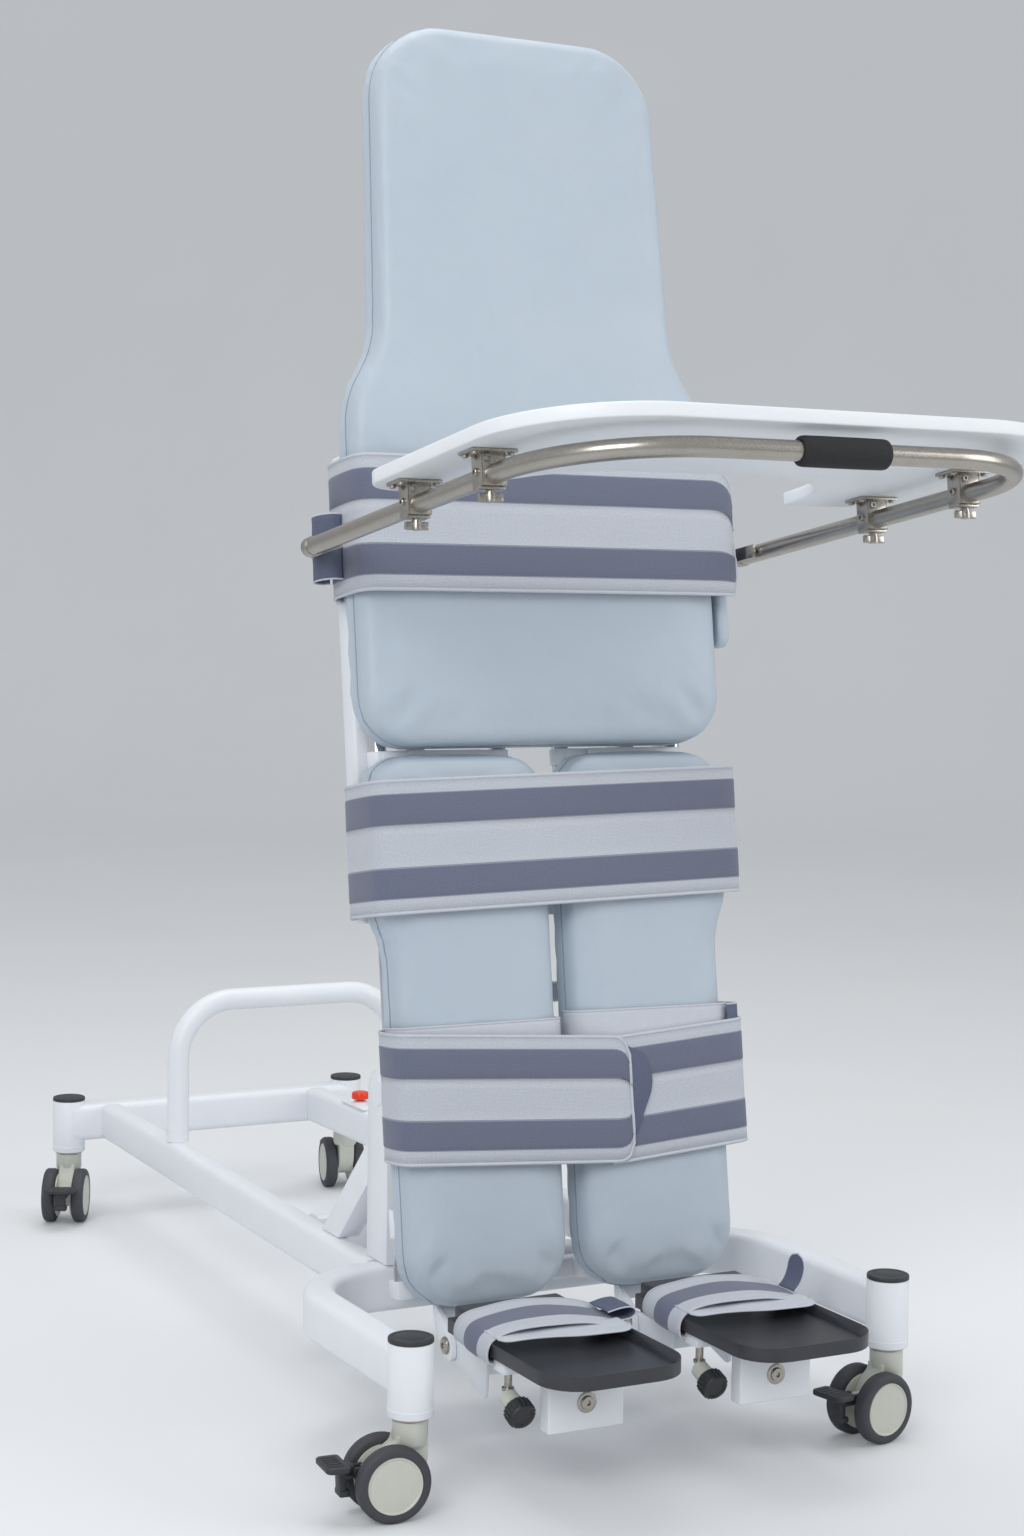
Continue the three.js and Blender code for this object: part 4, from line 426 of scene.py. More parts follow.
def plate(bm, corners, low, high, turn=Matrix(), edge=0.0, steps=2, rounding=8):
    """A flat plate drawn in X and Y between low and high, then turned."""
    low_rim, high_rim, _ = extrude(bm, corners, low, high, rounding)
    verts = low_rim + high_rim
    bmesh.ops.transform(bm, matrix=turn, verts=verts)
    if edge:
        soften(bm, verts, edge, steps)


def carry(bm, face, moves):
    """Carries a face's rim along straight runs and round bends, and closes the end."""
    ring = list(face.edges)
    for kind, *move in moves:
        if kind == "run":
            made = bmesh.ops.extrude_edge_only(bm, edges=ring)["geom"]
            verts = only(BMVert, made)
            bmesh.ops.translate(bm, verts=verts, vec=move[0])
            ring = [e for e in only(BMEdge, made) if set(verts).issuperset(e.verts)]
        else:
            centre, axis, degrees = move
            made = bmesh.ops.spin(bm, geom=ring, cent=centre, axis=axis, angle=math.radians(degrees),
                                  steps=max(3, round(abs(degrees) / 5)))["geom_last"]
            ring = only(BMEdge, made)
    bmesh.ops.holes_fill(bm, edges=ring, sides=0)


def hoop(leg, half, centre, axis, degrees):
    """The moves along one leg, round a bend, across, round a second bend and back.

    half is how far each bend's centre lies from the middle, and centre its two other coordinates.
    """
    return [
        ("run", leg),
        ("bend", (-half, *centre), axis, degrees),
        ("run", (2 * half, 0, 0)),
        ("bend", (half, *centre), axis, degrees),
        ("run", -leg),
    ]


def round_end(bm, radius, place, sides=32):
    """The capped start of a round tube."""
    made = bmesh.ops.create_circle(bm, cap_ends=True, cap_tris=False, segments=sides, radius=radius,
                                   matrix=place)
    return made["verts"][0].link_faces[0]


def square_end(bm, width, height, corner, place):
    """The capped start of a rectangular tube."""
    x, y = width / 2, height / 2
    face = outline(bm, rectangle((-x, x), (-y, y), corner), 5)
    bmesh.ops.transform(bm, matrix=place, verts=face.verts)
    return face


def to_mesh(name, bm):
    """A drawn shape as a mesh. The drawing is done with."""
    mesh = bpy.data.meshes.new(name)
    bm.to_mesh(mesh)
    bm.free()
    return mesh


def dress(name, mesh, material, body):
    """Makes a mesh a piece of this material that rides on a body."""
    mesh.materials.append(material)
    mesh.shade_smooth()
    piece = new_object(name, mesh)
    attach(piece, body)
    return piece


def make(name, bm, material, body, place=FLOOR, stands_for=(), sharp=35):
    """Puts a drawn shape in its place as a piece. It can stand for solids of the frame."""
    bmesh.ops.remove_doubles(bm, verts=bm.verts, dist=0.005)
    bmesh.ops.transform(bm, matrix=place, verts=bm.verts)
    bmesh.ops.recalc_face_normals(bm, faces=bm.faces)
    piece = dress(name, to_mesh(name, bm), material, body)
    piece.data.set_sharp_from_angle(angle=math.radians(sharp))
    if stands_for:
        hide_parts(*stands_for)
    return piece


# Base frame, bent and welded from rectangular tube

TUBE_Z = 183.5
TUBE_HEIGHT = 67
TUBE_CORNER = 12
DECK = 217.3
POST_RADIUS = 30
POST_LOW = 128.5
CAP_GAP = 0.3
BOW_WIDTH = 46
BOW_DEPTH = 273
BOW_BEND = 125
CROSSBAR_WIDTH = 62
RAIL_WIDTH = 40
RAIL_OUT = 232.6
RAIL_START = 421.3
RAIL_INWARD = 22.6
RAIL_LENGTH = 1261
COLUMN_NEAR = 196
COLUMN_FAR = 236
COLUMN_HALF = 35
BRACE_FOOT = 556
BRACE_WIDTH = 64
BRACE_INSET = 2
BEARING = (21, 19.5, 2)
REST_HALF = 212
REST_BACK = 1315
REST_TOP = 463.9
REST_BEND = 100
REST_RADIUS = 19


def post(bm, x, y):
    """A round post with a turned bead near its foot, up to just under its cap."""
    bar(bm, (x, y, POST_LOW), (x, y, CAP_LOW - CAP_GAP), POST_RADIUS, sides=64, edge=1.2)
    turned(bm, [(29.8, 139.2), (30.5, 138.7), (30.5, 137.6), (29.8, 137.1)], at(x, y))


bm = bmesh.new()
x = FRONT_TRACK / 2
start = square_end(bm, BOW_WIDTH, TUBE_HEIGHT, TUBE_CORNER, at(-x, 0, TUBE_Z) @ STANDING)
carry(bm, start, hoop(Vector((0, BOW_DEPTH, 0)), x - BOW_BEND, (BOW_DEPTH, 0), (0, 0, 1), -90))
post(bm, -x, 0)
post(bm, x, 0)
make("bow_tube", bm, powder_coat, "base", stands_for=["front_bow"])

bm = bmesh.new()
x = REAR_TRACK / 2
start = square_end(bm, CROSSBAR_WIDTH, TUBE_HEIGHT, TUBE_CORNER, at(-x, WHEELBASE, TUBE_Z) @ SIDEWAYS)
carry(bm, start, [("run", (2 * x, 0, 0))])
post(bm, -x, WHEELBASE)
post(bm, x, WHEELBASE)
make("rear_cross_tube", bm, powder_coat, "base", stands_for=["rear_crossbar"])

for side, sign in SIDES.items():
    bm = bmesh.new()
    place = at(sign * RAIL_OUT, RAIL_START, TUBE_Z) @ STANDING
    start = square_end(bm, RAIL_WIDTH, TUBE_HEIGHT, TUBE_CORNER, place)
    carry(bm, start, [("run", (-sign * RAIL_INWARD, RAIL_LENGTH, 0))])
    make(f"{side}_rail_tube", bm, powder_coat, "base", stands_for=[f"{side}_rail"])

    # The column is round over the pivot, and its brace rises to it at 45 degrees
    bm = bmesh.new()
    inner, outer = on_side(sign, COLUMN_NEAR, COLUMN_FAR)
    low, high, top = PIVOT_BACK - COLUMN_HALF, PIVOT_BACK + COLUMN_HALF, PIVOT_UP + COLUMN_HALF
    plate(bm, [(low, DECK, 0), (high, DECK, 0), (high, top, COLUMN_HALF), (low, top, COLUMN_HALF)],
          inner, outer, SIDEWAYS, edge=3, rounding=12)
    head = PIVOT_BACK + COLUMN_HALF / 2
    meet = DECK + BRACE_FOOT - head
    plate(bm, [(BRACE_FOOT, DECK, 0), (BRACE_FOOT + BRACE_WIDTH, DECK, 0), (head, meet + BRACE_WIDTH, 0),
               (head, meet, 0)], inner + BRACE_INSET, outer - BRACE_INSET, SIDEWAYS, edge=3)
    near_radius, far_radius, stands_out = BEARING
    face = sign * COLUMN_FAR
    bar(bm, (face, PIVOT_BACK, PIVOT_UP), (face + sign * stands_out, PIVOT_BACK, PIVOT_UP),
        near_radius, far_radius)
    make(f"{side}_upright", bm, powder_coat, "base", stands_for=[f"{side}_column"])

bm = bmesh.new()
start = round_end(bm, REST_RADIUS, at(-REST_HALF, REST_BACK, DECK))
bend_up = REST_TOP - REST_BEND
carry(bm, start, hoop(Vector((0, 0, bend_up - DECK)), REST_HALF - REST_BEND, (REST_BACK, bend_up),
                      (0, 1, 0), 90))
make("rest_tube", bm, powder_coat, "base", stands_for=["rest_bow"])

for corner, (x, y, _) in CASTERS.items():
    bm = bmesh.new()
    turned(bm, [(0, 6), (21, 6), (21.6, 5.6), (22.6, 5.6), (23.2, 6), (28.2, 6), (29.5, 5.4),
                (POST_RADIUS, 4.1), (POST_RADIUS, 0), (0, 0)], at(x, y, CAP_LOW), 64)
    make(f"{corner}_cap", bm, black_nylon, "base", stands_for=[f"{corner}_post_cap"])


# Emergency stop, on the right rail

STOP = at(213.6, 1480, DECK)
STOP_HALF_WIDTH = 18
STOP_HALF_LENGTH = 52
STOP_PLATE_THICKNESS = 4
STOP_SCREW_OUT = 40
bm = bmesh.new()
plate(bm, rectangle((-STOP_HALF_WIDTH, STOP_HALF_WIDTH), (-STOP_HALF_LENGTH, STOP_HALF_LENGTH), 4),
      0, STOP_PLATE_THICKNESS, STOP, edge=0.8)
turned(bm, [(7, 9), (11, 9), (14, 7.2), (14, 3.7), (7, 3.7), (7, 9)], STOP)
for end in (-STOP_SCREW_OUT, STOP_SCREW_OUT):
    turned(bm, [(0, 5), (3, 5), (3.6, 3.9), (0, 3.9)], STOP @ at(0, end), 20)
make("stop_plate", bm, laminate, "base", stands_for=["stop_base"])
bm = bmesh.new()
turned(bm, [(0, 27.3), (11, 27.1), (14.6, 26.1), (16.2, 23.7), (16.5, 20.7), (16.5, 14.7), (15.6, 13.3),
            (6, 13.3), (6, 8.7), (0, 8.7)], STOP)
make("stop_head", bm, signal_red, "stop_button", stands_for=["stop_button"])


# Casters, drawn with the wheels trailing along X and the swivel on Z

TRAIL = 32
WHEEL_RADIUS = 50
HOUSING_HALF = 14.5
DISC_RADIUS = 39
AXLE_RADIUS = 6
AXLE_HALF = 17
STEM_RADIUS = 10.8
STEM_UP = (128, 160)
PEDAL_ARM = (57.5, 70.5)
PEDAL_PIN_BACK = 62
PEDAL_PIN_UP = 64
PEDAL_RIBS = (-18, -9, 0, 9, 18)
RIB_HALF = 1.2
TYRE = [(37.4, 34), (37.6, 37.6), (38.6, 38.7), (42, 39), (45.5, 38.4), (48.4, 36.4), (49.8, 33.4),
        (49.8, 21.6), (48.4, 18.6), (45.5, 16.7), (42, 16.2), (38, 16.3), (36, 19), (36, 34), (37.4, 34)]
HUB = [(0, 38.2), (20, 38), (33.6, 37.2), (34.4, 37.9), (35.2, 38.5), (36.6, 38.5), (37.3, 37.4), (37.3, 24),
       (36, 16.8), (30, 16.4), (12, 16.4), (0, 16.4)]


def wheel_pair(profile):
    """A new mesh with both wheels, from a profile of one that is drawn round Z."""
    bm = bmesh.new()
    for sign in (-1, 1):
        mirrored = Matrix.Scale(sign, 4, (0, 0, 1))
        turned(bm, profile, at(TRAIL, 0, WHEEL_RADIUS) @ rotated(90, "X") @ mirrored, 72)
    return bm


def caster_housing(bm):
    """The body between the wheels, its two discs and the neck of its swivel."""
    plate(bm, [(-20, 106, 0), (-20, 66, 10), (-6, 40, 14), (24, 26, 14), (50, 34, 14), (56, 54, 10),
               (42, 84, 14), (23, 96, 6), (22, 106, 0)], -HOUSING_HALF, HOUSING_HALF, STANDING,
          edge=3.5, steps=3, rounding=5)
    for low, high in ((-15.2, -12.7), (12.7, 15.2)):
        bar(bm, (TRAIL, low, WHEEL_RADIUS), (TRAIL, high, WHEEL_RADIUS), DISC_RADIUS, sides=64)
    block(bm, (40, 65), (-5, 5), PEDAL_ARM, 1.5)
    turned(bm, [(0, 126), (22, 126), (23.5, 124.5), (23.5, 98), (21, 92), (0, 92)])


def brake_pedal(bm):
    """Two arms, a ribbed tread plate and the shank that reaches down behind the wheels."""
    for low, high in ((-11.6, -5.4), (5.4, 11.6)):
        down, up = PEDAL_ARM
        plate(bm, [(59, down, 5), (92, down, 0), (92, up, 0), (59, up, 5)], low, high, STANDING, edge=1)
    plate(bm, [(88, -29, 6), (120, -29, 9), (120, 29, 9), (88, 29, 6)], 71, 78.5, edge=2, steps=3)
    for rib in PEDAL_RIBS:
        block(bm, (95, 116), (rib - RIB_HALF, rib + RIB_HALF), (78.1, 79.5), 0.4, 1)
    block(bm, (78, 97), (-11.6, 11.6), (60, 75), 2)
    plate(bm, [(88, 34, 3), (97, 34, 3), (99, 76, 0), (88, 76, 0)], -10, 10, STANDING, edge=1.5)
    block(bm, (83, 98), (-12, 12), (34, 43), 2.5)


for corner, (x, y, heading) in CASTERS.items():
    place = FLOOR @ at(x, y) @ rotated(heading, "Z")
    make(f"{corner}_tyres", wheel_pair(TYRE), tread, f"{corner}_wheels", place,
         [f"{corner}_caster_wheels"])
    bm = wheel_pair(HUB)
    bar(bm, (TRAIL, -AXLE_HALF, WHEEL_RADIUS), (TRAIL, AXLE_HALF, WHEEL_RADIUS), AXLE_RADIUS)
    make(f"{corner}_hubs", bm, caster_shell, f"{corner}_wheels", place)
    bm = bmesh.new()
    caster_housing(bm)
    make(f"{corner}_housing", bm, caster_shell, f"{corner}_caster", place,
         [f"{corner}_caster_body"])
    bm = bmesh.new()
    turned(bm, [(0, 128.2), (25.2, 128.2), (26, 127.4), (26, 126.2), (24.6, 124.6), (0, 124.6)])
    bar(bm, (0, 0, STEM_UP[0]), (0, 0, STEM_UP[1]), STEM_RADIUS)
    bar(bm, (PEDAL_PIN_BACK, -12, PEDAL_PIN_UP), (PEDAL_PIN_BACK, 12, PEDAL_PIN_UP), 2.9, sides=20)
    make(f"{corner}_swivel_ring", bm, stainless, f"{corner}_caster", place)
    bm = bmesh.new()
    brake_pedal(bm)
    make(f"{corner}_pedal", bm, black_nylon, f"{corner}_pedal", place,
         [f"{corner}_brake_pedal"])


# Cushions. Each is foam on a board, pulled into shape under its cover by a cloth simulation.

PAD_FRONT = 5.5
PAD_BACK = 65
CROWN = 22
SEAM_STEP = 12
SEAM_DEPTH = PAD_BACK - 24


def bevel_level(bm, height, reach, steps):
    """Rounds the edges that lie at this height."""
    level_edges = [e for e in bm.edges if all(abs(v.co.z - height) < 0.01 for v in e.verts)]
    bevel(bm, level_edges, reach, steps)


def cushion(name, corners, body, node, cell, swell):
    """A cushion over an outline drawn across and up the bed, with its back flat on its board."""
    bm = bmesh.new()
    back_rim, _, _ = extrude(bm, corners, PAD_BACK, PAD_FRONT, 10)
    rim = [v.co.copy() for v in back_rim]
    bevel_level(bm, PAD_FRONT, CROWN, 6)
    bevel_level(bm, PAD_BACK, 4, 2)
    piece = make(name, bm, leatherette, body, BED @ STANDING, [node], sharp=180)
    cells = piece.modifiers.new("cells", "REMESH")
    cells.mode = "VOXEL"
    cells.voxel_size = cell / 1000
    keep_shape(piece)
    swell_cover(piece, swell / 1000, BED @ Vector((0, PAD_BACK - 6, 0)))
    smooth_cover(piece)
    seam(f"{name}_seam", piece, rim, body)


def smooth_cover(piece):
    smooth = piece.modifiers.new("smooth", "SUBSURF")
    smooth.levels = smooth.render_levels = 1


def keep_shape(piece):
    """Replaces a piece's mesh with what its modifiers make of it."""
    depsgraph = bpy.context.evaluated_depsgraph_get()
    shaped = bpy.data.meshes.new_from_object(piece.evaluated_get(depsgraph))
    piece.modifiers.clear()
    shaped.name = piece.name
    shaped.shade_smooth()
    piece.data = shaped


def swell_cover(piece, cap, back):
    """Swells a cushion's cover by at most cap metres, with everything behind back held on its board."""
    behind = (BED.to_3x3() @ Vector((0, 1, 0))).normalized()
    held = piece.vertex_groups.new(name="held")
    held.add([v.index for v in piece.data.vertices if (v.co - back).dot(behind) > 0], 1, "REPLACE")
    still = [v.co.copy() for v in piece.data.vertices]
    cloth = piece.modifiers.new("cloth", "CLOTH")
    cloth.settings.quality = 4
    cloth.settings.use_pressure = True
    cloth.settings.uniform_pressure_force = 4
    cloth.settings.effector_weights.gravity = 0
    cloth.settings.vertex_group_mass = "held"
    for number in range(1, 21):
        bpy.context.scene.frame_set(number)
    depsgraph = bpy.context.evaluated_depsgraph_get()
    swollen = piece.evaluated_get(depsgraph).to_mesh()
    for vert, rest, moved in zip(piece.data.vertices, still, swollen.vertices):
        step = moved.co - rest
        vert.co = rest + step * min(1, cap / max(step.length, 1e-9))
    piece.evaluated_get(depsgraph).to_mesh_clear()
    piece.modifiers.clear()
    piece.vertex_groups.clear()
    bpy.context.scene.frame_set(1)


def cord_piece(name, points, radius, material, body, closed=False):
    """A thin round cord through points that are already in place."""
    curve = bpy.data.curves.new(name, "CURVE")
    curve.dimensions = "3D"
    curve.bevel_depth = radius / 1000
    curve.bevel_resolution = 3
    curve.use_fill_caps = True
    spline = curve.splines.new("POLY")
    spline.points.add(len(points) - 1)
    for point, co in zip(spline.points, points):
        point.co = (*co, 1)
    spline.use_cyclic_u = closed
    path = new_object(name, curve)
    mesh = bpy.data.meshes.new_from_object(path)
    bpy.data.objects.remove(path)
    mesh.name = name
    mesh.materials.clear()
    return dress(name, mesh, material, body)


def seam(name, cover, rim, body):
    """The sewn seam round a cushion's side, laid on its cover."""
    mesh = cover.data
    tree = BVHTree.FromPolygons([v.co for v in mesh.vertices], [p.vertices for p in mesh.polygons])
    points = []
    for corner, follow in zip(rim, rim[1:] + rim[:1]):
        pieces = max(1, round((follow - corner).length / SEAM_STEP))
        for k in range(pieces):
            spot = corner.lerp(follow, k / pieces)
            points.append(tree.find_nearest(BED @ STANDING @ Vector((spot.x, spot.y, SEAM_DEPTH)))[0])
    cord_piece(name, points, 1.0, seam_thread, body, closed=True)


TORSO_HALF = 296
TORSO_LOW = 787.6
TORSO_HIGH = 1845
SHOULDER_UP = 1292
NECK_UP = 1362
NECK_HALF = 246
HEAD_HALF = 231
cushion("torso_cushion", both_sides([
    (TORSO_HALF, TORSO_LOW, 75), (TORSO_HALF, SHOULDER_UP, 40), (NECK_HALF, NECK_UP, 40),
    (HEAD_HALF, TORSO_HIGH, 112)]), "bed", "torso_pad", 8, 5)

LEG_PAD_LENGTH = 780
LEG_PAD_INNER = 10
SHIN_OUTER = 268
THIGH_OUTER = 292
KNEE_UP = (510, 560)
for side, sign in SIDES.items():
    corners = [(LEG_PAD_INNER, 0, 80), (SHIN_OUTER, 0, 80), (SHIN_OUTER, KNEE_UP[0], 26),
               (THIGH_OUTER, KNEE_UP[1], 26), (THIGH_OUTER, LEG_PAD_LENGTH, 60),
               (LEG_PAD_INNER, LEG_PAD_LENGTH, 60)]
    cushion(f"{side}_leg_cushion", [(sign * x, y, reach) for x, y, reach in corners][::sign],
            f"{side}_leg", f"{side}_leg_pad", 7, 5)

# The left bolster sits inside the loop of the chest strap, so it is the shorter one
BOLSTER_DEPTH = 40
for side, low, high, front, near, far in (
        ("left", 1042, 1114, 52, -318, -303), ("right", 935, 1150, 18, 298.5, 317)):
    bm = bmesh.new()
    plate(bm, rectangle((front, front + BOLSTER_DEPTH), (low, high), 17), near, far, SIDEWAYS,
          edge=6, steps=4)
    bolster = make(f"{side}_bolster", bm, leatherette, "bed", BED,
                   [f"{side}_side_bolster"], sharp=180)
    smooth_cover(bolster)


# Bed frame, welded from rectangular tube, with the lugs that it turns on

BEAM = (104, 144)
PLATE_BACK = 65.3
INNER_BEAM = (160, 190)
INNER_BEAM_UP = (10, 1720)
OUTER_BEAM = (240, 272)
OUTER_BEAM_UP = (545, 1222)
CROSSBAR_HALF = 15
CROSSBAR_BACK = BEAM[1] - 0.2
STUB_AXLE = (175, 236)
STUB_AXLE_RADIUS = 14.8
GUIDE_MOUNT_HALF = 13.5
CRANK_PLATE = (13.3, 19.3)
BOLSTER_TAB_HEIGHT = 50
GUIDE_OUT = 244
GUIDE_IN = 52
GUIDE_BACK = 88
CRANK_BACK = 165
CRANK_UP = 431.4
LUG_RADIUS = 27
CRANK_RADIUS = 17
bm = bmesh.new()
for sign in (-1, 1):
    inner, outer = on_side(sign, *INNER_BEAM)
    block(bm, (inner, outer), BEAM, INNER_BEAM_UP, 5, 3)
    lug = rectangle((109, LUG_BACK + LUG_RADIUS), (LUG_UP - LUG_RADIUS, LUG_UP + LUG_RADIUS))
    plate(bm, [(x, y, LUG_RADIUS - 0.1 if x > LUG_BACK else 0) for x, y, _ in lug], inner, outer,
          SIDEWAYS, edge=2, rounding=12)
    start, end = STUB_AXLE
    bar(bm, (sign * start, LUG_BACK, LUG_UP), (sign * end, LUG_BACK, LUG_UP), STUB_AXLE_RADIUS, sides=48)
    block(bm, on_side(sign, *OUTER_BEAM), BEAM, OUTER_BEAM_UP, 5, 3)
for half, up, front in (
        (235, 27, BEAM[0]), (175, CRANK_UP, BEAM[0]), (267, 560, BEAM[0]),
        (267, 848, PLATE_BACK), (255, 1203.4, PLATE_BACK), (175, 1705, PLATE_BACK)):
    block(bm, (-half, half), (front, CROSSBAR_BACK), (up - CROSSBAR_HALF, up + CROSSBAR_HALF), 5, 3)
for across in (-GUIDE_OUT, -GUIDE_IN, GUIDE_IN, GUIDE_OUT):
    block(bm, (across - GUIDE_MOUNT_HALF, across + GUIDE_MOUNT_HALF), (75, 109), (14, 40), 2.5)
for sign in (-1, 1):
    crank = rectangle((139, CRANK_BACK + CRANK_RADIUS), (CRANK_UP - CRANK_RADIUS, CRANK_UP + CRANK_RADIUS))
    plate(bm, [(x, y, CRANK_RADIUS if x > CRANK_BACK else 0) for x, y, _ in crank],
          *on_side(sign, *CRANK_PLATE), SIDEWAYS, edge=1)
    bar(bm, (sign * 10.9, CRANK_BACK, CRANK_UP), (sign * 22, CRANK_BACK, CRANK_UP), 6, sides=24)
for sign, low, front in ((-1, 1052, 92), (1, 950, 60)):
    block(bm, on_side(sign, 256, 316), (104, 112), (low, low + BOLSTER_TAB_HEIGHT), 1.5)
    block(bm, on_side(sign, 308, 316), (front, 112), (low, low + BOLSTER_TAB_HEIGHT), 1.5)
make("bed_tubes", bm, powder_coat, "bed", BED, ["bed_frame"])

# The arms that hold the tray's tube, each bent from flat bar
ARM_UP = (1064, 1084)
bm = bmesh.new()
for sign in (-1, 1):
    for x, y in (((256, 272), (68, 110)), ((262, 340), (68, 74)), ((334, 340), (-30, 74))):
        block(bm, on_side(sign, *x), y, ARM_UP, 1.2)
make("tray_arms", bm, stainless, "bed", BED)


# Straps

def smoothed(points, times=3):
    """The line with its corners cut to soft curves."""
    for _ in range(times):
        cut = [points[0]]
        for a, b in zip(points, points[1:]):
            cut += [a.lerp(b, 0.25), a.lerp(b, 0.75)]
        points = cut + [points[-1]]
    return points


def spaced(points, gap):
    """Points at even distances along a line, and the line's length."""
    steps = [(b - a).length for a, b in zip(points, points[1:])]
    length = sum(steps)
    count = max(2, round(length / gap))
    made, place, walked = [points[0]], 0, 0.0
    for i in range(1, count):
        want = length * i / count
        while walked + steps[place] < want:
            walked += steps[place]
            place += 1
        made.append(points[place].lerp(points[place + 1], (want - walked) / steps[place]))
    return made + [points[-1]], length


def band(name, line, width, lower, material, body, place, stripes=(), raised=0.8, thickness=2.6,
         first=(0, 0), last=(0, 0), ripple=1.0, gap=7, seed=0):
    """A strap along a line of (across, back) points.

    lower gives its lower edge's height at a share of its length. first and last round off the
    lower and upper corner at its two ends. Returns the piece, its length and its two edges.
    """
    points, length = spaced(smoothed([Vector(p) for p in line]), gap)
    count = len(points) - 1
    rows = [i / 12 for i in range(13)]
    for start, end in stripes:
        rows += [1 - start - 0.008, 1 - start + 0.002, 1 - end - 0.002, 1 - end + 0.008]
    rows.sort()

    def cut(reach, left):
        return reach - math.sqrt(max(0, reach ** 2 - (reach - left) ** 2)) if left < reach else 0

    def spot(step, share):
        walked = length * step / count
        along = (points[min(step + 1, count)] - points[max(step - 1, 0)]).normalized()
        bottom, top = lower(walked / length), lower(walked / length) + width
        for left, reaches in ((walked, first), (length - walked, last)):
            bottom += cut(reaches[0], left)
            top -= cut(reaches[1], left)
        lift = raised if any(1 - end - 0.001 < share < 1 - start + 0.001 for start, end in stripes) else 0
        lift += noise.noise(Vector((walked / 70, share * 2.2, seed))) * ripple
        side = points[step] + Vector((along.y, -along.x)) * lift
        return side.x, side.y, bottom + (top - bottom) * share

    bm = bmesh.new()
    layer = bm.loops.layers.uv.new("band")
    last_row = len(rows) - 1
    bmesh.ops.create_grid(bm, x_segments=count, y_segments=last_row, size=0.5)
    grid = {v: (round((v.co.x + 0.5) * count), rows[round((v.co.y + 0.5) * last_row)]) for v in bm.verts}
    for vert, (step, share) in grid.items():
        vert.co = spot(step, share)
    for face in bm.faces:
        for loop in face.loops:
            step, share = grid[loop.vert]
            loop[layer].uv = (length * step / count / 1000, 1 - share)
    bmesh.ops.transform(bm, matrix=place, verts=bm.verts)
    piece = dress(name, to_mesh(name, bm), material, body)
    wall = piece.modifiers.new("wall", "SOLIDIFY")
    wall.thickness = thickness / 1000
    wall.offset = 0
    low = [place @ Vector(spot(step, 0)) for step in range(count + 1)]
    high = [place @ Vector(spot(step, 1)) for step in range(count + 1)]
    end = [place @ Vector(spot(count, share)) for share in rows[1:-1]]
    return piece, length, (low, end, high)


def strap(name, line, width, lower, material, body, place, stands_for=(), rests_on=(), piping=2.6,
          free_end=False, held="stretched", **shape):
    """A strap with rolled tape round its edges."""
    piece, length, (low, end, high) = band(name, line, width, lower, material, body, place, **shape)
    if free_end:
        trim = [cord_piece(f"{name}_binding", low + end + high[::-1], piping, bias_tape, body)]
    else:
        trim = [cord_piece(f"{name}_lower_binding", low, piping, bias_tape, body),
                cord_piece(f"{name}_upper_binding", high, piping, bias_tape, body)]
    if stands_for:
        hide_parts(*stands_for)


def level(height, rise=0.0):
    """A lower edge that climbs by rise from one end to the other."""
    return lambda share: height + rise * share


BEAM_SIDE = 273.8
BEAM_BACK = 139
STRAP_FRONT = -14
CALF_WIDTH = 178
body_strap = {"stripes": BODY_STRIPE_SHARES, "material": body_webbing, "body": "bed", "place": BED}
lining = {"material": pile_lining, "body": "bed", "place": BED, "piping": 1.4}


def round_side(side, front, sign=1):
    """From the outer beam forward along the cushion's side and onto its front."""
    return [(sign * x, y) for x, y in [
        (BEAM_SIDE, BEAM_BACK), (BEAM_SIDE, BEAM_BACK - 20), (side, BEAM_BACK - 40), (side, front + 30),
        (side - 8, front + 6), (side - 42, front)]]


# The chest strap's panel goes over the right bolster, where a lined under strap takes its pull
chest_end = [(280, STRAP_FRONT), (308, STRAP_FRONT + 3), (319, STRAP_FRONT + 12)]
strap("chest_band", round_side(300.5, STRAP_FRONT, -1) + chest_end, 190, level(1010),
      stands_for=["chest_strap"], rests_on=["torso_cushion"], free_end=True, last=(12, 46), **body_strap)
strap("chest_under_band", round_side(322, STRAP_FRONT + 4)[:-1] + [(296, STRAP_FRONT + 5)], 168, level(1017),
      rests_on=["right_bolster"], thickness=2.2, **lining)
strap("chest_loop", [(-302, 98), (-308, 105), (-325, 98), (-333, 78), (-330, 56), (-318, 43), (-303, 46)],
      92, level(1032), rests_on=["chest_band"], thickness=2.2, ripple=2.5, gap=4, held="folded", **lining)

strap("knee_band", round_side(297, STRAP_FRONT, -1) + round_side(301, STRAP_FRONT)[::-1], 184, level(553, 18),
      stands_for=["knee_strap"], rests_on=["left_leg_cushion", "right_leg_cushion"], **body_strap)

# The calf strap closes over its tail, which a lined under strap backs
strap("calf_band", [(-215, 67), (-262, 69), (-279, 58), (-280, 16), (-272, -8), (-236, STRAP_FRONT),
                    (85, STRAP_FRONT)], CALF_WIDTH, level(218, -33),
      stands_for=["calf_strap"], rests_on=["left_leg_cushion"], free_end=True, last=(26, 26), **body_strap)
strap("calf_tail", [(50, -9.5), (240, -9.5), (282, -6), (291, 14), (291, 52), (276, 68), (215, 67)],
      CALF_WIDTH, level(184, 24), rests_on=["right_leg_cushion"], **body_strap)
strap("calf_under_band", [(258, -6.8), (278, -4), (288, 14), (289, 50), (276, 69), (215, 69)],
      202, level(198, 2), rests_on=["right_leg_cushion"], thickness=2.0, **lining)

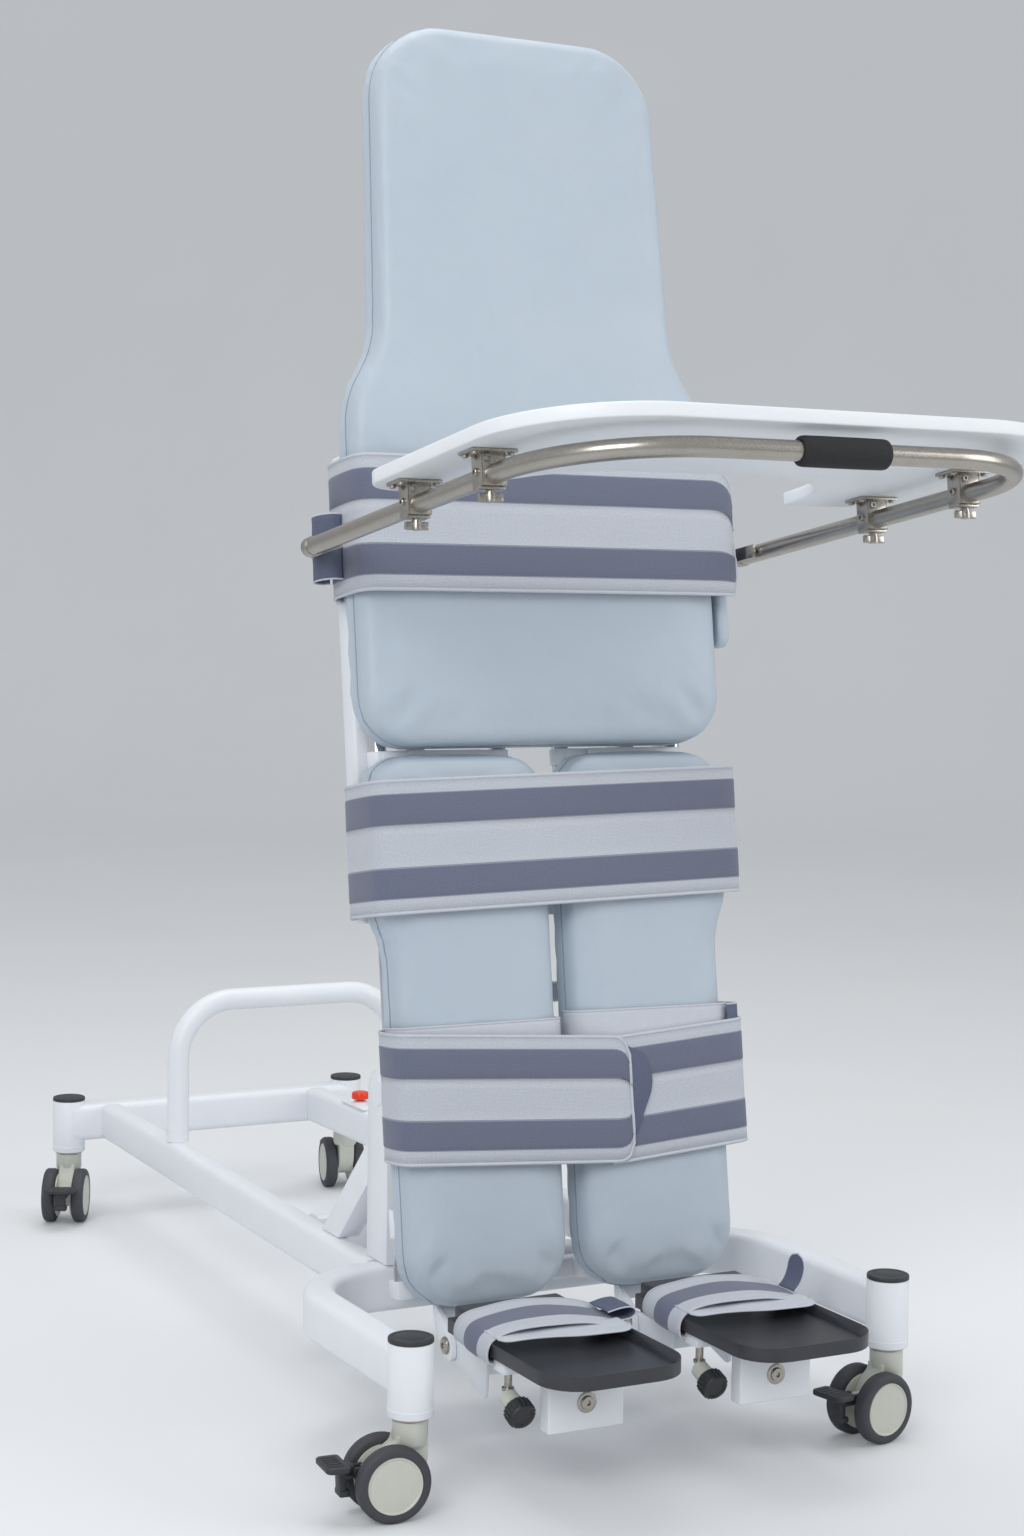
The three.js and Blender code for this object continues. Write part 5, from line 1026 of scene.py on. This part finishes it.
# Hook tab beyond the calf strap's end
bm = bmesh.new()
plate(bm, [(80, 219, 2), (92, 226, 3), (119, 284, 8), (122, 306, 10), (110, 336, 6), (80, 352, 2)],
      STRAP_FRONT - 0.6, STRAP_FRONT + 1.4, STANDING, edge=0.6)
make("calf_tab", bm, pile_lining, "bed", BED)

# A lined band hugs each leg cushion under the calf strap
for side, start, rise in (("left", 330, 0), ("right", 338, -4)):
    line = [(12, 48), (8, 30), (12, 8), (34, -3.5), (246, -3.5), (267, 6), (273, 26), (272, 46)]
    strap(f"{side}_leg_band", [(SIDES[side] * x, y) for x, y in line], 66, level(start, rise), plain_webbing,
          f"{side}_leg", BED, rests_on=[f"{side}_leg_cushion"], piping=1.8, thickness=2.0, ripple=0.6)


# Leg frames and ankles

LEG_PLATE_HALF = 60
LEG_PLATE_THICKNESS = 7
SLEEVE_RADIUS = 15.6
CHEEK_IN = 51
CHEEK_OUT = 59
ANKLE_HALF = 60
ANKLE_RADIUS = 5.9
GUIDE_RADIUS = 12.5
GUIDE_UP = (22, 850)
for side, sign in SIDES.items():
    centre = sign * LEG_CENTRE
    bm = bmesh.new()
    plate(bm, rectangle((centre - LEG_PLATE_HALF, centre + LEG_PLATE_HALF), (-22, LEG_PAD_LENGTH + 9), 4),
          PLATE_BACK, PLATE_BACK + LEG_PLATE_THICKNESS, STANDING, edge=0.8)
    for up, long in ((120, 40), (777, 24)):
        low, high = up - long / 2, up + long / 2
        inner, outer = on_side(sign, GUIDE_IN, GUIDE_OUT)
        block(bm, (inner, outer), (70, 100), (low, high), 2)
        for across in (inner, outer):
            bar(bm, (across, GUIDE_BACK, low), (across, GUIDE_BACK, high), SLEEVE_RADIUS, edge=1)
    cheek = [(72, 22, 0), (PLATE_BACK, 22, 0), (62, 0, 10), (28, -26, 10), (16, -49, 16), (24, -71, 16),
             (44, -70, 16), (72.3, -22, 8)]
    for end in (-1, 1):
        low, high = sorted((centre + end * CHEEK_IN, centre + end * CHEEK_OUT))
        plate(bm, cheek, low, high, SIDEWAYS, edge=1, rounding=6)
    make(f"{side}_leg_carrier", bm, powder_coat, f"{side}_leg", BED, [f"{side}_leg_frame"])
    bm = bmesh.new()
    bar(bm, (centre - ANKLE_HALF, ANKLE_BACK, ANKLE_UP), (centre + ANKLE_HALF, ANKLE_BACK, ANKLE_UP),
        ANKLE_RADIUS)
    for end in (-1, 1):
        bolt = at(centre + end * (CHEEK_OUT + 0.3), ANKLE_BACK, ANKLE_UP) @ rotated(end * 90, "Y")
        turned(bm, [(0, 2.6), (4, 2.6), (4.3, 4.7), (8, 4.6), (11.4, 3.2), (12.5, 1.2), (12.5, 0), (0, 0)],
               bolt, 40)
    make(f"{side}_ankle_pin", bm, stainless, f"{side}_leg", BED, [f"{side}_ankle_bolt"])
for label, across in (("left_outer", -GUIDE_OUT), ("left_inner", -GUIDE_IN),
                      ("right_inner", GUIDE_IN), ("right_outer", GUIDE_OUT)):
    bm = bmesh.new()
    low, high = GUIDE_UP
    bar(bm, (across, GUIDE_BACK, low), (across, GUIDE_BACK, high), GUIDE_RADIUS, edge=1)
    make(f"{label}_slide_tube", bm, chrome, "bed", BED, [f"{label}_guide_tube"])


# Feet, drawn from the ankle pivot

FOOT_BEAM_WIDTH = 60
FOOT_BEAM_HEIGHT = 42
FOOT_BEAM_UP = 27
FOOT_BEAM_BACK = -40
FOOT_BEAM_LENGTH = 240
END_BLOCK = (-300, -275)
KNOB_OUT = -84
KNOB_BACK = -262
KNOB_UP = -10
KNOB_STUD_BACK = -238
KNOB_TILT = math.radians(20)
KNOB_RIBS = 20
HEEL = (-112.5, -67.5)
HEEL_HALF = 80
HEEL_HEIGHT = 28
TRAY_HALF = 102
TRAY_BACK = -90
TRAY_FRONT = -407
TRAY_LOW = 48.3
TRAY_HEIGHT = 19


def knob_place(distance):
    """The knob's axis points forward and down, away from the foot beam's side."""
    along = Vector((0, -math.cos(KNOB_TILT), -math.sin(KNOB_TILT)))
    start = Vector((KNOB_OUT, KNOB_BACK, KNOB_UP)) + along * distance
    return at(*start) @ along.to_track_quat("Z", "Y").to_matrix().to_4x4()


for side in SIDES:
    place = FOOT[side]
    bm = bmesh.new()
    start = square_end(bm, FOOT_BEAM_WIDTH, FOOT_BEAM_HEIGHT, 5,
                       at(0, FOOT_BEAM_BACK, FOOT_BEAM_UP) @ STANDING)
    carry(bm, start, [("run", (0, -FOOT_BEAM_LENGTH, 0))])
    block(bm, (-56.5, 56.5), END_BLOCK, (-40, 35), 2.5, 3)
    for end in (-1, 1):
        plate(bm, [(15, -15, 15), (15, 15, 15), (-112, 15, 4), (-107, -47, 5), (-98, -47, 5)],
              *on_side(end, 50.7, 45.7), SIDEWAYS, edge=1, rounding=6)
    block(bm, (-49, 49), (-107, -66), (-15, 11), 1.5)
    block(bm, (-96, -28), (-250, -218), (30, 47), 2)
    make(f"{side}_foot_bar", bm, powder_coat, f"{side}_foot", place, [f"{side}_foot_beam"])

    bm = bmesh.new()
    turned(bm, [(0, 2.4), (3.4, 2.4), (3.7, 5), (8.4, 5), (9.2, 4.2), (9.6, 2), (13, 2), (14, 1.4), (14, 0),
                (0, 0)], at(0, END_BLOCK[0], -3) @ rotated(90, "X"))
    for low, high, radius, edge in ((KNOB_UP, 32, 5.5, 0), (6, 11, 8.5, 1)):
        bar(bm, (KNOB_OUT, KNOB_STUD_BACK, low), (KNOB_OUT, KNOB_STUD_BACK, high), radius, edge=edge)
    make(f"{side}_foot_screws", bm, stainless, f"{side}_foot", place)

    bm = bmesh.new()
    turned(bm, [(0, 0), (13, 0), (13.5, -1), (13.5, -9), (12.5, -10), (12.5, -24), (11, -26), (0, -26)],
           knob_place(-0.4), 40)
    make(f"{side}_knob_collar", bm, caster_shell, f"{side}_foot", place)

    bm = bmesh.new()
    turned(bm, [(0, 20.4), (13, 20.4), (13.6, 21.8), (16.5, 21.8), (17.6, 20.6), (18.2, 18), (18.2, 2),
                (17, 0.6), (0, 0.6)], knob_place(0), 60)
    for rib in range(KNOB_RIBS):
        block(bm, (16, 19.9), (-1.7, 1.7), (2.2, 18.6), 0.7, 1,
              knob_place(0) @ rotated(360 / KNOB_RIBS * rib, "Z"))
    make(f"{side}_knob", bm, black_nylon, f"{side}_knob", place, [f"{side}_foot_knob"])

    # The plate: a raised rim with a chamfer inside it, and the heel block
    bm = bmesh.new()
    _, _, rim = extrude(bm, [
        (TRAY_HALF, TRAY_BACK, 4), (TRAY_HALF, TRAY_FRONT, 55), (-TRAY_HALF, TRAY_FRONT, 55),
        (-TRAY_HALF, TRAY_BACK, 4)], TRAY_LOW, TRAY_LOW + TRAY_HEIGHT, 8)
    for inward, down in ((6, 5), (3, 8)):
        bmesh.ops.inset_region(bm, faces=rim, thickness=inward)
        bmesh.ops.translate(bm, verts=rim[0].verts, vec=(0, 0, -down))
    soften(bm, bm.verts, 1.4, 3, 40)
    block(bm, (-HEEL_HALF, HEEL_HALF), HEEL, (TRAY_LOW, TRAY_LOW + HEEL_HEIGHT), 4, 3)
    for end in (-1, 1):
        block(bm, on_side(end, FOOT_BEAM_WIDTH / 2 + 0.3, HEEL_HALF), HEEL, (32.3, 54.3), 3)
    make(f"{side}_foot_tray", bm, charcoal_abs, f"{side}_foot", place,
         [f"{side}_foot_plate"])


# Foot straps, drawn across and down, so that their width runs along the foot

LYING = Matrix(((1, 0, 0, 0), (0, 0, -1, 0), (0, -1, 0, 0), (0, 0, 0, 1)))

# The strap over the foot droops from its rear edge to its front edge
DROOP = Matrix(((1, 0, 0, 0), (0, 1, 0, 0), (0, 0.095, 1, 14), (0, 0, 0, 1)))


def over_foot(points):
    """A line of (across, up) points, in a strap's own directions."""
    return [(x, -z) for x, z in points]


for side in SIDES:
    tray = f"{side}_foot_tray"
    strap(f"{side}_foot_band",
          over_foot([(-66, 45), (-104, 45), (-108, 52), (-108, 66), (-100, 79), (-72, 87), (-10, 90),
                     (40, 86), (84, 76), (104, 70), (108, 60), (107, 50), (102, 45), (66, 45)]),
          96, level(128), foot_webbing, f"{side}_foot", FOOT[side] @ DROOP @ LYING,
          [f"{side}_foot_strap"], [tray], piping=1.5, stripes=FOOT_STRIPE_SHARES, raised=0.6,
          thickness=2.4, ripple=2.6, gap=5)
    strap(f"{side}_foot_flap",
          over_foot([(-97, 74), (-70, 74), (-20, 74), (40, 73), (84, 71.5), (99, 73)]),
          62, level(186, 18), plain_webbing, f"{side}_foot", FOOT[side] @ LYING, rests_on=[tray],
          piping=1.0, thickness=2.0, ripple=3.0, gap=5, first=(0, 14), last=(0, 30), seed=3, held="laid")
strap("left_foot_loop",
      over_foot([(88, 80), (108, 84), (126, 84), (134, 76), (126, 68), (110, 67), (100, 68)]),
      52, level(146), pile_lining, "left_foot", FOOT["left"] @ LYING, rests_on=["left_foot_band"],
      piping=1.0, thickness=1.8, gap=3, held="folded")
strap("right_foot_tail",
      over_foot([(96, 74), (106, 84), (112, 100), (114, 122)]),
      40, level(158), pile_lining, "right_foot", FOOT["right"] @ LYING, rests_on=["right_foot_band"],
      piping=1.2, thickness=1.8, gap=3, free_end=True, last=(19, 19), held="folded")


# Tray

BOARD = (1105, 1123)
BOARD_HALF = 403
BOARD_FRONT = -757
BOARD_BACK = -238
TRAY_TUBE_HALF = 355
TRAY_TUBE_UP = 1074
TRAY_TUBE_RADIUS = 12.7
TRAY_TUBE_BACK = 30
TRAY_BEND = 185
TRAY_BEND_BACK = -560
GRIP_START = -58
CLAMP_BACKS = {"rear": -310, "front": -520}
CLAMP_HALF_WIDTH = 17
CLAMP_HALF_LENGTH = 13
CLAMP_UP = (-13.5, 28)
CLAMP_WALL = 3
WING_LOW = -31.8
bm = bmesh.new()
plate(bm, both_sides([
    (BOARD_HALF, BOARD_FRONT, 180), (BOARD_HALF, BOARD_BACK, 60), (255, BOARD_BACK, 0), (246, -430, 150)]),
    *BOARD, edge=2.5, steps=3, rounding=14)
make("tray_top", bm, laminate, "tray", BED, ["tray_board"], sharp=50)

bm = bmesh.new()
end = at(-TRAY_TUBE_HALF, TRAY_TUBE_BACK, TRAY_TUBE_UP) @ rotated(90, "X")
start = round_end(bm, TRAY_TUBE_RADIUS, end, 40)
carry(bm, start, hoop(Vector((0, TRAY_BEND_BACK - TRAY_TUBE_BACK, 0)), TRAY_TUBE_HALF - TRAY_BEND,
                      (TRAY_BEND_BACK, TRAY_TUBE_UP), (0, 0, 1), 90))
for sign in (-1, 1):
    turned(bm, [(12.7, -5), (14.2, -4.4), (14.2, 9), (13, 12), (9, 14.4), (0, 15), (0, -5), (12.7, -5)],
           at(sign * TRAY_TUBE_HALF, TRAY_TUBE_BACK, TRAY_TUBE_UP) @ rotated(-90, "X"))
make("tray_rail", bm, stainless, "tray", BED, ["tray_tube"])

bm = bmesh.new()
turned(bm, [(13, 0), (16.4, 0.4), (18.2, 2.4), (18.8, 6), (19, 30), (19, 95), (18.8, 119), (18.2, 122.6),
            (16.4, 124.6), (13, 125), (13, 0)],
       at(GRIP_START, TRAY_BEND_BACK - TRAY_BEND, TRAY_TUBE_UP) @ rotated(90, "Y"))
make("grip_sleeve", bm, foam_skin, "tray", BED, ["tray_grip"])


def clamp(bm):
    """A folded steel box round the tube, screwed under the board, with a wing screw below.

    It is drawn from the tube's centre.
    """
    for end in (-1, 1):
        block(bm, on_side(end, CLAMP_HALF_WIDTH - CLAMP_WALL, CLAMP_HALF_WIDTH),
              (-CLAMP_HALF_LENGTH, CLAMP_HALF_LENGTH), CLAMP_UP, 0.9)
    block(bm, (-16.8, 16.8), (-CLAMP_HALF_LENGTH, CLAMP_WALL - CLAMP_HALF_LENGTH), CLAMP_UP, 0.9)
    block(bm, (-16.8, 16.8), (-9, 12.6), (-17.5, -13), 0.9)
    block(bm, (-16, 16), (-9, 9), (13.2, 27), 1.2)
    block(bm, (-31, 31), (-20, 20), (26.7, 30.7), 0.8)
    turned(bm, [(0, 1.2), (2.2, 1.2), (2.4, 3.4), (4, 3.4), (4.6, 2.6), (4.6, 0), (0, 0)],
           at(-8, -CLAMP_HALF_LENGTH, 20) @ rotated(90, "X"), 24)
    for end in (-1, 1):
        turned(bm, [(0, 1.6), (2.4, 1.6), (2.6, 4.2), (4.4, 4.2), (5, 3.4), (5, 0), (0, 0)],
               at(end * 16.8, 0, 4) @ rotated(end * 90, "Y"), 24)
        for near in (-CLAMP_HALF_LENGTH, CLAMP_HALF_LENGTH):
            turned(bm, [(0, 3.4), (3.4, 3.2), (4.4, 2), (4.4, 0), (0, 0)],
                   at(end * 25, near, 26.7) @ rotated(180, "X"), 20)
        block(bm, on_side(end, 3, 17), (-2.5, 2.5), (WING_LOW, -21), 1.5)
    bar(bm, (0, 0, -16), (0, 0, -31), 4.6)
    turned(bm, [(0, -19), (6, -19), (7, -26), (6.5, WING_LOW), (0, WING_LOW)], sides=24)


for side, sign in SIDES.items():
    for label, back in CLAMP_BACKS.items():
        bm = bmesh.new()
        clamp(bm)
        make(f"{side}_{label}_clamp", bm, stainless, "tray",
             BED @ at(sign * TRAY_TUBE_HALF, back, TRAY_TUBE_UP), [f"{side}_{label}_tray_clamp"])


# Solids that keep their own shape take their finish here

KEPT = {
    "actuator_crossbar": powder_coat,
    "actuator_body": housing_grey,
    "actuator_rod": chrome,
}
for node, material in KEPT.items():
    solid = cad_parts[node]
    if not solid.material_slots:
        solid.data.materials.append(material)
    for slot in solid.material_slots:
        slot.material = material


# Floor, backdrop and light

FLOOR_LIFT = 0.08
FLOOR_REACH = 9
COVE_RADIUS = 3
WALL_HEIGHT = 6
STUDIO_HALF_WIDTH = 16
WORLD_STRENGTH = 0.62


def make_studio():
    """Painted studio floor: pale, and lifted to the camera's eye so that it meets the backdrop."""
    material, tree, shader = begin("studio_paint", 0.85)
    place = add(tree, "ShaderNodeTexCoord", {}, "Object")
    seen = add(tree, "ShaderNodeLightPath", {}, "Is Camera Ray")
    plug(tree, shader, {
        "Base Color": between(tree, patchy(tree, place, 1.2, 2), ("DCDEE1", "E2E4E6")),
        "Emission Strength": add(tree, "ShaderNodeMath", {0: seen, 1: FLOOR_LIFT}, operation="MULTIPLY"),
        "Emission Color": linear("F4F6F8")})
    return material


bm = bmesh.new()
profile = [(-FLOOR_REACH, 0), (FLOOR_REACH, 0)]
for step in range(1, 19):
    angle = math.radians(5 * step)
    profile.append((FLOOR_REACH + COVE_RADIUS * math.sin(angle), COVE_RADIUS * (1 - math.cos(angle))))
profile.append((FLOOR_REACH + COVE_RADIUS, WALL_HEIGHT))
left, right = [[bm.verts.new((x, y, z)) for y, z in profile] for x in (-STUDIO_HALF_WIDTH, STUDIO_HALF_WIDTH)]
for corners in zip(left, right, right[1:], left[1:]):
    bm.faces.new(corners)
bmesh.ops.transform(bm, matrix=Matrix.Rotation(-CAMERA_YAW, 4, "Z"), verts=bm.verts)
mesh = to_mesh("studio_floor", bm)
mesh.materials.append(make_studio())
mesh.shade_smooth()
floor = new_object("studio_floor", mesh)

world = bpy.data.worlds.new("studio")
bpy.context.scene.world = world
world.use_nodes = True
background = world.node_tree.nodes["Background"]
background.inputs["Color"].default_value = linear("F4F6F8")
background.inputs["Strength"].default_value = WORLD_STRENGTH


def lamp(name, place, target, size, power):
    """A soft square box that shines at target. All is in metres and watts."""
    data = bpy.data.lights.new(name, "AREA")
    data.shape = "RECTANGLE"
    data.size = data.size_y = size
    data.energy = power
    aim = Vector(target) - Vector(place)
    new_object(name, data).matrix_world = at(*place) @ aim.to_track_quat("-Z", "Y").to_matrix().to_4x4()


lamp("key_light", (-3.4, -3.6, 3.4), (0, -0.4, 0.9), 2.4, 95)
lamp("fill_light", (3.6, -3.0, 2.4), (0, -0.4, 0.9), 2.4, 45)
lamp("top_light", (0, 0.4, 4.6), (0, 0, 0.6), 3, 60)
